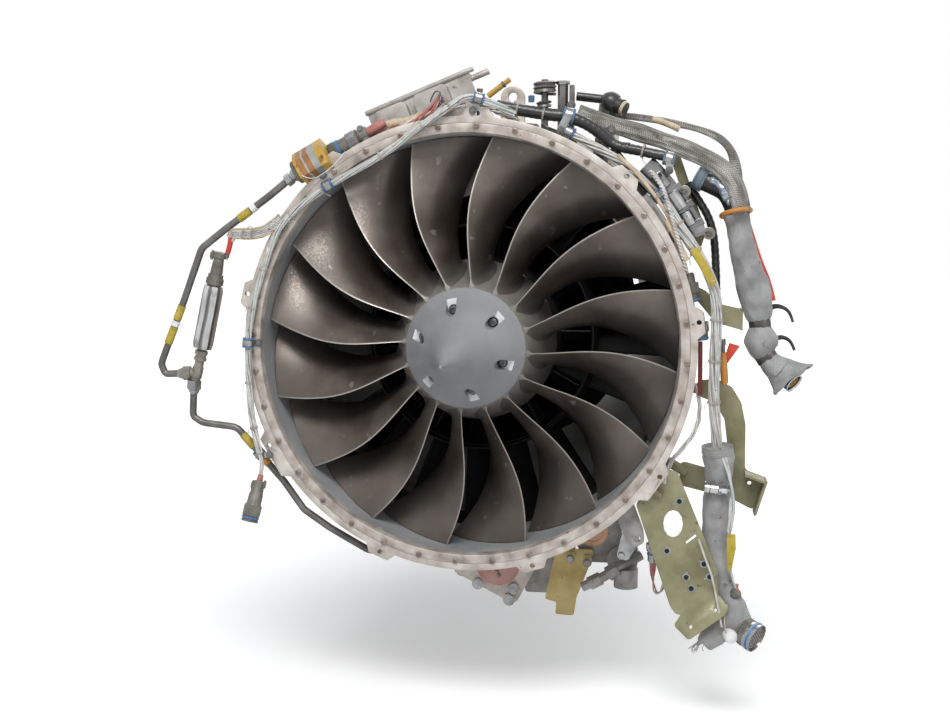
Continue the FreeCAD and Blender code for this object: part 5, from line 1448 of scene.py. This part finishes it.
def make_tubes():
    """The two steel sense pipes, round and smooth."""
    for name, route in (("upper_pipe", [(-246, 18, 218), (-270, 18, 199), (-333, 18, 154), (-367, 18, 128),
                                        (-394, 18, 57), (-430, 18, -32), (-424, 18, -46), (-406, 18, -45)]),
                        ("lower_pipe", [(-384, 18, -73), (-386, 18, -104), (-372, 18, -113),
                                        (-323, 18, -118), (-257, 18, -192), (-229, 18, -231),
                                        (-193, 20, -256), (-139, 26, -288), (-118, 34, -286)])):
        line = path_of(with_corners(route, 20), 2.5)
        sweep(name, line, 4.9, "tube_steel", sides=24,
              replaced=("upper_sense_tube" if name == "upper_pipe" else "lower_sense_tube",),
              slot="tube_steel")


def make_labels():
    yellow, white = ("label_yellow", "white_and_highlight")
    bands = [band_on("band_1", (-313, 18, 168.2), (-297, 18, 179.6), 5.3, yellow),
             band_on("band_2", (-295.5, 18, 180.7), (-288.5, 18, 185.7), 5.3, white),
             band_on("band_3", (-397, 18, 49.4), (-405, 18, 30.1), 5.3, yellow),
             band_on("band_4", (-405.7, 18, 28.3), (-408.6, 18, 21.2), 5.3, white),
             band_on("band_5", (-409, 18, 20), (-418.5, 18, -3), 5.3, yellow),
             band_on("band_6", (-314, 18, -128), (-299, 18, -145), 5.4, yellow),
             band_on("band_7", (-287, 18, -158.5), (-278, 18, -168.5), 5.4, "label_orange")]
    joined("tube_bands", bands, "tube_steel")
    clamp = p_clamp("tube_clamp", (-291, 18, -154), (66, 0, -74), 5.8, (-270, -151), -1.8, 12)
    joined("lower_tube_clamp", clamp, "clamp_steel")


def make_sensor():
    """Drum with painted reflection bands, coupling, tapered backshell and eared lead clamp of the pressure
    sensor, and its red sleeve."""
    top = Vector((-351, 18, 77))
    way = Vector((19, 0, 86)).normalized()
    foot = top - way * 88.1
    line = [mm(foot + way * 88.1 * i / 12) for i in range(13)]

    def flats(i, share, angle):
        reach = 13.8 + 0.6 * math.cos(8 * angle)
        reach *= 0.9 if i in (0, 12) else 1.0
        return (reach * math.cos(angle), reach * math.sin(angle))

    drum = sweep("sensor_drum", line, flats, "sensor_steel", sides=64)
    sharpen(drum, 30)
    plug = "plug_grey"
    parts = [drum, lathe("sensor_foot", foot - way * 5, way, [(0, 5.6), (5.5, 6.2)], "fitting_alloy", 24),
             lathe("sensor_collar", top, way, [(0, 9.4), (2, 9.4), (2.4, 11.4), (11, 11.4), (11.4, 10.4),
                                               (16, 10.4), (16.4, 8.6)], plug, 40),
             knurl("sensor_coupling", top + way * 2, way, 9, 11.3, 20, plug, 0.7),
             lathe("sensor_shell", top + way * 16, way, [(0, 8.4), (6, 8.2), (18, 7.2), (22, 7.0),
                                                         (24, 9.0), (30, 9.2), (31, 7.0)], plug, 40)]
    for turn in (-1, 1):
        ear = top + way * 42 + Vector((turn * 10.5, 0, 0))
        parts.append(lathe("sensor_ear_%d" % (turn + 1), ear - way * 2.5, way,
                           [(0, 2.6), (0.5, 3.2), (7, 3.2), (7.5, 2.4)], plug, 12))
        parts.append(lathe("sensor_screw_%d" % (turn + 1), ear - way * 5, way, [(0, 2.0), (13, 2.0)],
                           "clamp_steel", 10))
    joined("sensor_with_clamp", parts, "bright_steel", "pressure_sensor")
    sleeve_line = path_of([(-330, 17, 122), (-327, 16, 130), (-325, 15, 137), (-324, 14, 143)], 1.5)
    sweep("sensor_red_sleeve", sleeve_line, 3.6, "red_rubber", sides=18, slot="wire_white")
    alloy, steel = ("fitting_alloy", "bright_steel")
    run = Vector((-3, 0, -13.7))
    tee = [lathe("tee_collar", (-370.65, 18, -11.93), run, [(0, 6.5), (0.6, 9.0), (6, 9.0), (6.6, 7.4),
                                                            (9, 7.4), (9.6, 8.8), (14, 8.8), (15, 6.8)],
                 alloy, 12), lathe("tee_run", (-373.67, 18, -25.6), (-9.3, 0, -36.4),
                                   [(0, 6.4), (9, 6.4), (10, 7.6), (25, 7.6), (26, 6.4), (36, 6.4)], alloy,
                                   28), lathe("tee_branch", (-379, 18, -43.5), (-1, 0, -0.06),
                                              [(0, 6.6), (9, 6.6)], alloy, 24),
           lathe("tee_side_nut", (-386, 18, -43.9), (-1, 0, -0.06),
                 [(0, 7.5), (1, 9.8), (12, 9.8), (13, 8), (16, 7.2), (20, 5.6)], alloy, 6),
           lathe("tee_low_nut", (-382.4, 18, -53), (-1.6, 0, -20),
                 [(0, 7.6), (1, 10.2), (13, 10.2), (14, 8.2), (17, 7.4), (20, 5.6)], steel, 6)]
    joined("sense_tee", tee, "case_alloy", "tube_tee")


def make_block():
    """Banded junction block, its rings and the chain of mated plugs beside it."""
    way = Vector((0.8714, 0, 0.4906)).normalized()
    start = Vector((-223, 6, 233))
    side = way.cross(Vector((0, 1, 0))).normalized()
    up = Vector((0, 1, 0))
    bands = [(0, 4.5, "label_amber"), (4.5, 12.5, "tape_rust"), (12.5, 15.5, "tape_pale"),
             (15.5, 23.5, "tape_rust"), (23.5, 33, "tape_pale"), (33, 44, "label_amber")]
    parts = []
    for n, (a, b, finish) in enumerate(bands):
        points, faces = ([], [])
        for along in (a, b):
            for j in range(6):
                angle = TAU * j / 6
                r = 20 / math.cos(math.pi / 6) + 0.25
                points.append(mm(start + way * along + (side * math.cos(angle) + up * math.sin(angle)) * r))
        for j in range(6):
            k = (j + 1) % 6
            faces.append((j, k, 6 + k, 6 + j))
        faces += [tuple(range(6)), tuple(reversed(range(6, 12)))]
        piece = add_object("block_band_%d" % n, mesh_of("block_band", points, faces), finish, smooth=False)
        soften(piece, 0.8)
        parts.append(piece)
    parts += [lathe("block_cap", start - way * 7, way, [(0, 9), (0, 15.5), (1, 16.2), (6, 16.2), (7, 15)],
                    "plug_grey", 40)]
    parts.append(sweep("block_wire", path_of([(-214, -17, 226), (-202, -20, 219), (-180, -20, 231),
                                              (-166, -15, 245), (-158, -8, 257)], 2), 0.8, "wire_white",
                       sides=6))
    joined("junction_block", parts, "amber_block", "striped_connector")
    fitting = [lathe("block_fitting", (-246, 18, 218), (0.8, 0, 0.6),
                     [(0, 7.2), (0.6, 8.6), (9, 8.6), (9.6, 7.4), (12, 7.4), (12.6, 9), (20, 9)],
                     "bright_steel", 6)]
    joined("block_fitting", fitting, "bright_steel")
    end = start + way * 44
    place = Vector((end.x, 22, end.z))
    chain = [lathe("chain_shell", place, way, [(0, 11.2), (1, 12.4), (12, 12.4), (13, 11.4), (27, 11.4),
                                               (44, 12.2)], "plug_grey", 48),
             lathe("chain_blue", place + way * 12.5, way, [(0, 11.6), (0, 12.9), (3, 12.9), (3, 11.6)],
                   "blue_ring", 48), knurl("chain_ring_1", place + way * 1, way, 10, 12.6, 30, "plug_grey"),
             knurl("chain_ring_2", place + way * 28, way, 14, 12.4, 30, "bright_steel"),
             lathe("chain_neck", place + way * 44, way, [(0, 9.5), (3, 9.9), (13, 9.6), (14, 8)],
                   "plug_grey", 36), lathe("chain_boot", place + way * 58, way,
                                           [(0, 6.2), (3, 6.6), (22, 6.0), (26, 5)], "red_sleeve", 28)]
    for turn in (-1, 1):
        chain += bolt("chain_ear_%d" % (turn + 1), place + way * 52 + side * turn * 8 - up * 7, (0, -1, 0),
                      5.5, 2.5, "gear_steel")
    right_way = Vector((0.2, 0, -1)).normalized()
    lower_way = Vector((0.12, -0.1, -1)).normalized()
    for n, (spot, way_r, r_neck, r_body) in enumerate((((289, 24, 100), right_way, 7, 9.5),
                                                       ((303, 24, 50), lower_way, 7, 10.5))):
        spot = Vector(spot)
        chain += [lathe("right_neck_%d" % n, spot, way_r, [(0, r_neck - 1.5), (2, r_neck), (13, r_neck)],
                        "plug_grey", 32), knurl("right_ring_%d" % n, spot + way_r * 13, way_r, 14, r_body,
                                                24, "plug_grey"),
                  lathe("right_tip_%d" % n, spot + way_r * 27, way_r,
                        [(0, r_body - 1.2), (8, r_body - 1.2), (11, r_body - 2.6)], "plug_grey", 32),
                  lathe("right_blue_%d" % n, spot + way_r * 34, way_r,
                        [(0, r_body - 1.0), (0, r_body - 0.2), (2, r_body - 0.2), (2, r_body - 1.0)],
                        "blue_ring", 32)]
    joined("mated_plugs", chain, "plug_grey", "harness_plugs")


def twisted(name, route, radius, reach, turns, finishes):
    return wires(name, route, [(reach, 0), (reach, 180)], radius, finishes, turns, 0.0, 2.0)


def make_top():
    """Wires before the tray, capped tube, clamps, post bolts, sleeves and lug."""
    red, tan, white = ("red_sleeve", "tape_tan", "wire_white")
    route = [(-150, 28, 279), (-128, 30, 284), (-104, 32, 296), (-82, 34, 297), (-62, 34, 306),
             (-36, 34, 310)]
    sweep("tray_bundle", path_of(route, 2), lambda i, s,
          a: ((5.6 + 0.5 * math.sin(s * 90) + 0.5 * crumple(2, s, a, 120)) * math.cos(a),
              (5.0 + 0.4 * math.sin(s * 90)) * math.sin(a)), tan, sides=18, slot="wire_white")
    wires("tray_red_wires", [(-168, 26, 268), (-146, 24, 270), (-120, 26, 282), (-96, 28, 285),
                             (-66, 30, 300), (-44, 32, 318), (-38, 34, 330)], hexagon_spots(1, 3.2), 1.6,
          [red, red, white, red, "wire_grey"], 1.2, 1.0, 2.5)
    wires("tray_pink_wires", [(-92, 30, 290), (-66, 30, 300), (-42, 30, 312), (-24, 30, 316),
                              (-4, 32, 318)], hexagon_spots(1, 2.6), 1.2, [white, red, white], 1.5, 1.2,
          2.5)
    wires("tray_bare_wire", [(-52, 30, 322), (-46, 28, 338), (-36, 28, 334), (-42, 28, 324),
                             (-34, 28, 316)], [(0, 0)], 1.1, ["tube_steel"], 0, 0.0, 1.5)
    wires("top_grey_wires", [(4, 16, 324), (22, 20, 316), (44, 24, 306), (66, 28, 296)],
          hexagon_spots(1, 2.4), 1.1, ["wire_grey", white, "cord_tie"], 1.5, 1.3, 2.5)
    tube = [lathe("capped_tube", (21, 60, 331), (23, 0, 17), [(0, 3.2), (0.6, 3.9), (24, 3.9), (25, 3.3)],
                  "label_amber", 20), lathe("capped_collar", (40.5, 60, 345.4), (23, 0, 17),
                                            [(0, 3.9), (0.5, 4.8), (3, 4.8), (3.5, 3.6)], "gear_steel", 20),
            lathe("capped_tip", (43.6, 60, 347.7), (23, 0, 17), [(0, 3.4), (8, 3.3), (9, 2.4)],
                  "label_amber", 20)]
    joined("yellow_tube", tube, "yellow_primer")
    posts = []
    for x, z in ((-6, 342), (6, 338)):
        posts.append(lathe("tray_post_%d" % x, (x, 72, z - 44), (0.05, 0, 1),
                           [(0, 3.0), (42, 3.0), (43, 4.2), (48, 4.2)], "tube_steel", 16))
    posts += bolt("ear_bolt", (47, 60, 317), (0, -1, 0), 9, 4, "gear_steel")
    posts += bolt("wing_bolt", (133, 52, 318), (0, -1, 0), 7, 3, "gear_steel")
    posts += bolt("lug_bolt", (185, 66, 286), (0, -1, 0), 8, 3.5, "gear_steel")
    posts.append(slab("white_lug", [(174, 268), (178, 292), (190, 296), (197, 288), (193, 266)], 68, 5,
                      "ring_alloy", 1.0))
    posts.append(lathe("hex_collar", (121, 60, 345), (0, 0, 1), [(0, 8.6), (1, 9.2), (4, 9.2), (5, 8.4)],
                       "bright_steel", 6))
    posts.append(lathe("clamp_blue_small", (80, 52, 322), (0, 0, 1), [(0, 4.0), (8, 4.2), (9, 3.0)],
                       "clamp_blue", 16))
    joined("top_fasteners", posts, "gear_steel")
    sleeve_line = path_of([(238, 86, 301), (254, 86, 297), (274, 86, 287)], 2)
    sweep("tan_sleeve", sleeve_line, 4.2, tan, sides=16, slot="wire_white")
    lathe("elbow_cap", (198, 84, 316), (6, -2.4, -2.9), [(0, 8.6), (0.6, 9.6), (4.4, 9.8), (5.4, 8.8),
                                                         (5.6, 6.4), (4.2, 6.0)], "tape_tan", 40,
          slot="black_sleeve")
    sweep("tan_strip", path_of([(196, 12, 252), (226, 12, 224), (252, 12, 190), (270, 12, 158),
                                (284, 12, 124)], 3), lambda i, s, a: (2.4 * math.cos(a), 1.2 * math.sin(a)),
          tan, sides=12, slot="wire_white")
    sweep("tan_tube", path_of([(259, 6, 169), (274, 6, 144), (287, 6, 117)], 2), lambda i, s,
          a: ((3.5 + 0.2 * math.sin(40 * s)) * math.cos(a), 3.3 * math.sin(a)), tan, sides=16,
          slot="wire_white")


def make_hoses():
    """Sleeved hoses at the upper right with their blue cushioned clamps."""
    black = "black_sleeve"

    def ribbed(base, seed):
        def outline(i, share, angle):
            r = base + 0.35 * crumple(seed, share, angle, 150) + 0.25 * math.sin(share * 150 * 0.9)
            return (r * math.cos(angle), r * math.sin(angle))

        return outline

    routes = [([(37, 26, 316), (67, 28, 311), (107, 30, 304), (130, 32, 303), (166, 36, 288),
                (186, 40, 268)], 8), ([(200, 34, 262), (228, 32, 257), (257, 29, 250)], 6.5),
              ([(286, 76, 216), (300, 76, 196), (320, 74, 162), (326, 70, 112), (328, 66, 40)], 5.2),
              ([(301, 62, 222), (320, 60, 214), (341, 57, 203), (349, 54, 178)], 13.2)]
    parts = []
    for n, (route, radius) in enumerate(routes):
        line = path_of(route, 2)
        parts.append(sweep("hose_%d" % n, line, ribbed(radius, n * 2.0), black, sides=28))
    parts.append(sweep("hose_4", path_of([(188, 42, 262), (204, 44, 236), (232, 46, 214), (262, 48, 186)],
                                         2), ribbed(6.0, 9.0), black, sides=24))
    parts.append(sweep("hose_5", path_of([(178, 39, 276), (188, 39, 267), (196, 36, 263), (210, 33, 261)],
                                         2), ribbed(6.7, 5.0), black, sides=24))
    joined("sleeved_hoses", parts, "black_sleeve", "black_hoses")
    clamps = p_clamp("hose_clamp_a", (131, 32, 303), (30, 2, -8), 8.6, (122, 284), 22, 15)
    clamps += p_clamp("hose_clamp_b", (262, 28.5, 247), (29, -3, -9), 7.2, (262, 232), 22, 14,
                      "clamp_slate")
    boot_way = Vector((27, -3, -14)).normalized()
    boot = Vector((296, 62.5, 224.5))
    clamps += [lathe("boot_cushion", boot, boot_way, [(0, 12.4), (0, 15.0), (2, 15.6), (3, 14.6),
                                                      (11, 14.6), (12, 15.6), (14, 15.0), (14, 13.4)],
                     "clamp_slate", 48), lathe("boot_band", boot + boot_way * 3.6, boot_way,
                                               [(0, 14.4), (0, 15.3), (6.8, 15.3), (6.8, 14.4)],
                                               "clamp_slate", 48)]
    for point, way in (((64, 28, 311), (40, 1, -6)), ((98, 30, 305), (40, 1, -6)),
                       ((228, 32, 257), (28, -3, -7))):
        clamps.append(tie("hose_tie", mm(point), Vector(way), 8.2, 1))
    clamps = joined("hose_clamps", clamps, "clamp_steel")
    slab("olive_strut", [(258, 262), (271, 266), (312, 152), (306, 132), (298, 134), (296, 158)], 82, 2,
         "olive_primer", 0.6, slot="olive_primer")
    lumps("foil_wrap", [[(318, 42, 219, 4.5), (329, 41, 210, 4.0), (337, 41, 200, 3.5), (340, 41, 190, 3)],
                        [(331, 41, 204, 3.5), (336, 41, 196, 3.5)]], "foil", 1.2, 2.6, 4.0,
          slot="clamp_steel")


def make_braid():
    """Woven tin braid and its thinner strap, with the orange ring and shield at its lower end."""
    wide = [(140, 74, 309), (171, 72, 297), (220, 66, 283), (285, 58, 260), (329, 47, 237.5),
            (350, 36, 210), (355.5, 30, 179)]
    strap_route = [(172, 106, 309), (215, 102, 305), (268, 100, 296), (316, 97, 283), (340, 93, 266),
                   (350, 87, 238), (351.5, 80, 196)]
    line = path_of(wide, 2.5)

    def flat(i, share, angle):
        ripple = 0.5 * math.sin(share * 60 + math.cos(angle) * 4) + 0.8 * noise.noise(Vector((share * 9,
                                                                                              angle, 3)))
        half_w = 11.5 + 1.2 * noise.noise(Vector((share * 8, 2, 5))) + 1.2 * bump_at(share, 0.8, 0.15)
        half_t = 3.4 + 0.8 * share + 0.7 * ripple
        a, b = (math.cos(angle), math.sin(angle))
        rib = 0.35 * math.sin(9 * math.acos(max(-1, min(1, a))) + share * 14)
        return (half_w * abs(a) ** 0.7 * (1 if a > 0 else -1),
                (half_t * abs(b) ** 0.7 + rib) * (1 if b > 0 else -1))

    def thin(i, share, angle):
        a, b = (math.cos(angle), math.sin(angle))
        w = 4.6 + 3.4 * bump_at(share, 0.86, 0.12) + 0.8 * noise.noise(Vector((share * 7, 1, 2)))
        return (w * abs(a) ** 0.7 * (1 if a > 0 else -1), (1.8 + 0.5 * math.sin(share * 70)) * b)

    parts = [sweep("braid_wide", line, flat, "braid_tin", sides=64),
             sweep("braid_strap", path_of(strap_route, 2.5), thin, "braid_tin", sides=28)]
    joined("woven_braid", parts, "braid_tin", "bonding_braid")
    ring_round("orange_ring", (348.5, 42, 177.5), (1, 0, 0.2), (0, 1, -0.2), 18.8, 21.5, 3.1,
               "orange_rubber", slot="black_sleeve")
    sweep("red_strap", path_of([(362, 62, 168), (369, 64, 148), (381, 62, 112), (394, 60, 84),
                                (399, 58, 62)], 2.5), lambda i, s,
          a: ((5.2 - 0.4 * s) * math.cos(a), 3.6 * math.sin(a)), "red_rubber", sides=16,
          slot="black_sleeve")


def make_manifold():
    """Polished half-round chambers, lugs and bolts on the front of the air manifold."""
    parts = []
    for n, (low, high, radius) in enumerate(((47.0, 51.0, 12.5), (52.3, 57.0, 15.0), (57.6, 61.2, 13.0))):
        a, b = (on_clock(331, low, 46), on_clock(331, high, 46))
        long = (b - a).length
        parts.append(lathe("chamber_%d" % n, a, b - a, [(0, radius - 2.5), (1.2, radius),
                                                        (long - 1.2, radius), (long, radius - 2.5)],
                           "chamber_steel", 40))
    for clock in (54.0, 64.4):
        place = on_clock(349, clock, 41.6)
        parts.append(lathe("lug_ring", place, (0, -1, 0), [(0, 7.8), (1.2, 7.6), (1.4, 4.6)],
                           "fitting_alloy", 28))
        parts += bolt("lug_bolt", tuple(place), (0, -1, 0), 6.5, 3.2, "gear_steel")
    joined("manifold_chambers", parts, "bright_steel")


def make_right_details():
    """Label, twisted lead, probe, tapes and rivets at the right of the ring."""
    slab("harness_label", [(290, 131), (300, 135), (325, 90), (317, 84)], -1.5, 1.0, "label_yellow", 0.3,
         slot="wire_white")
    slab("label_bands", [(318.4, 90.2), (322.6, 92.8), (321.4, 95.4), (317.0, 92.8)], -2.0, 0.6, "tape_tan",
         0.15, slot="wire_white")
    twisted("twisted_lead", [(238, 14, 232), (252, 6, 216), (262, 2, 190), (270, 0, 160), (280, 2, 128),
                             (286, 10, 104)], 1.7, 1.5, 14, ["wire_white", "wire_white"])
    parts = [lathe("probe_stem", (335, 34, 14), (1, 0, -18), [(0, 3.4), (1, 4.0), (8, 4.0), (9, 2.8),
                                                              (18, 2.8)], "gear_steel", 18),
             lathe("probe_grip", (336, 34, -4), (3, 0, -42), [(0, 3.6), (1, 4.6), (34, 5.0), (40, 4.8),
                                                              (42, 3.6)], "orange_rubber", 24)]
    joined("orange_probe", parts, "black_sleeve")
    slab("red_flag", [(344, 8), (358, 4), (339, -24), (337, -16)], 40, 2, "red_rubber", 0.5,
         slot="black_sleeve")
    slab("red_stripe", [(303, 12), (309, 12), (310, -58), (304, -60)], 16, 2, "red_dark", 0.5,
         slot="black_sleeve")
    wires("branch_small", [(302, 22, -44), (309, 20, -76), (303, 18, -106), (288, 16, -128),
                           (268, 16, -150), (262, 20, -178)], [(1.7, 0), (1.7, 120), (1.7, 240)], 1.5,
          ["wire_white", "wire_grey", "wire_white"], 2, 1.2, 2.5)
    spots = [(283, -202), (268, -270), (317, -286), (325, -303), (294, -305), (301, -320)]
    parts = []
    for n, (x, z) in enumerate(spots):
        parts.append(lathe("nut_ring_%d" % n, (x, 20, z), (0, -1, 0), [(0, 5.2), (0.8, 5.2), (1.0, 4.6)],
                           "clamp_steel", 24))
        # Each nut's bore is painted near black as shade.
        parts.append(lathe("nut_bore_%d" % n, (x, 19, z), (0, -1, 0),
                           [(0, 3.4), (1.2, 3.2), (1.2, 2.0), (0.2, 1.9)], "painted_shade_black", 16))
        for turn in (0, math.pi):
            angle = 0.6 + turn + n
            parts.append(lathe("nut_rivet_%d" % n, (x + 6.6 * math.cos(angle), 20,
                                                    z + 6.6 * math.sin(angle)), (0, -1, 0),
                               [(0, 1.6), (0.7, 1.4), (0.8, 0.4)], "clamp_steel", 10))
    for x, z, y in ((-9, -373, 168), (45, -378, 168), (38, -396, 168)):
        parts.append(lathe("mount_washer", (x, y + 0.4, z), (0, -1, 0), [(0, 8.4), (0.6, 8.2)],
                           "clamp_steel", 24))
    for x, z in ((132, -314), (156, -319)):
        parts += bolt("yellow_bolt", (x, 119, z), (0, -1, 0), 9, 4, "fitting_alloy")
    joined("bracket_hardware", parts, "clamp_steel")
    pad = [lathe("pad_ring", (162, 149.6, -281), (0, -1, 0), [(0, 22), (1.6, 22), (1.8, 15), (0.4, 14.6)],
                 "copper_ring", 40), lathe("pad_seal", (21, 169.6, -341), (0, -1, 0),
                                           [(0, 33), (1.4, 32.6), (1.8, 30), (1.2, 22), (1.5, 12),
                                            (0.8, 4)], "seal_pink", 48)]
    joined("pad_rings", pad, "ring_alloy")
    top, way = (Vector((249, 90, -268)), Vector((0, 0, -1)))
    sensor = [lathe("probe_body", top, way, [(0, 5), (2, 7), (10, 7), (11, 9), (22, 9), (23, 7.4),
                                             (36, 7.4), (38, 6)], "bright_steel", 30),
              knurl("probe_ring", top + way * 11, way, 9, 9.2, 20, "bright_steel"),
              lathe("probe_blue", top + way * 25, way, [(0, 7.6), (0, 8.4), (2.4, 8.4), (2.4, 7.6)],
                    "blue_ring", 30), lathe("probe_boot", top + way * 38, way, [(0, 5), (12, 4.2), (20, 3)],
                                            "red_sleeve", 20)]
    joined("lower_probe", sensor, "bright_steel")
    wires("probe_lead", [(249, 90, -324), (250, 88, -342), (256, 86, -352), (264, 86, -342),
                         (266, 88, -322), (262, 92, -300)], [(1.4, 0), (1.4, 180)], 1.2,
          ["wire_white", "red_sleeve"], 2, 0.4, 2.0)
    slab("probe_tag", [(258, -302), (267, -300), (268, -326), (260, -328)], 82, 1.0, "label_yellow", 0.3,
         slot="wire_white")


# ---------------------------------------------------------------- main

def main():
    bpy.context.scene.view_settings.view_transform = "Standard"
    make_camera()
    make_world()
    area_light("key", (0.15, -2.4, 2.8), (0, 0, 0), (2.0, 1.3), 106)
    area_light("fill", (2.6, -1.8, 0.9), (0, 0.1, 0), (2.2, 2.2), 10)
    area_light("back", (0.5, 2.8, 2.4), (0, 0.4, 0), (2.6, 1.8), 40)
    make_floor()
    make_materials()
    # Painted shade on the inside of the intermediate case.
    paint_inner_shade("frame_alloy", INNER_SHADE_R)
    finish_cad_nodes()
    for make in (make_fan, make_spinner, make_ring_hardware, make_harness, make_clamps, make_pigtail,
                 make_upper_tail, make_lower_tail, make_tubes, make_labels, make_sensor, make_block,
                 make_top, make_hoses, make_braid, make_manifold, make_right_details):
        make()


main()
bpy.context.view_layer.update()
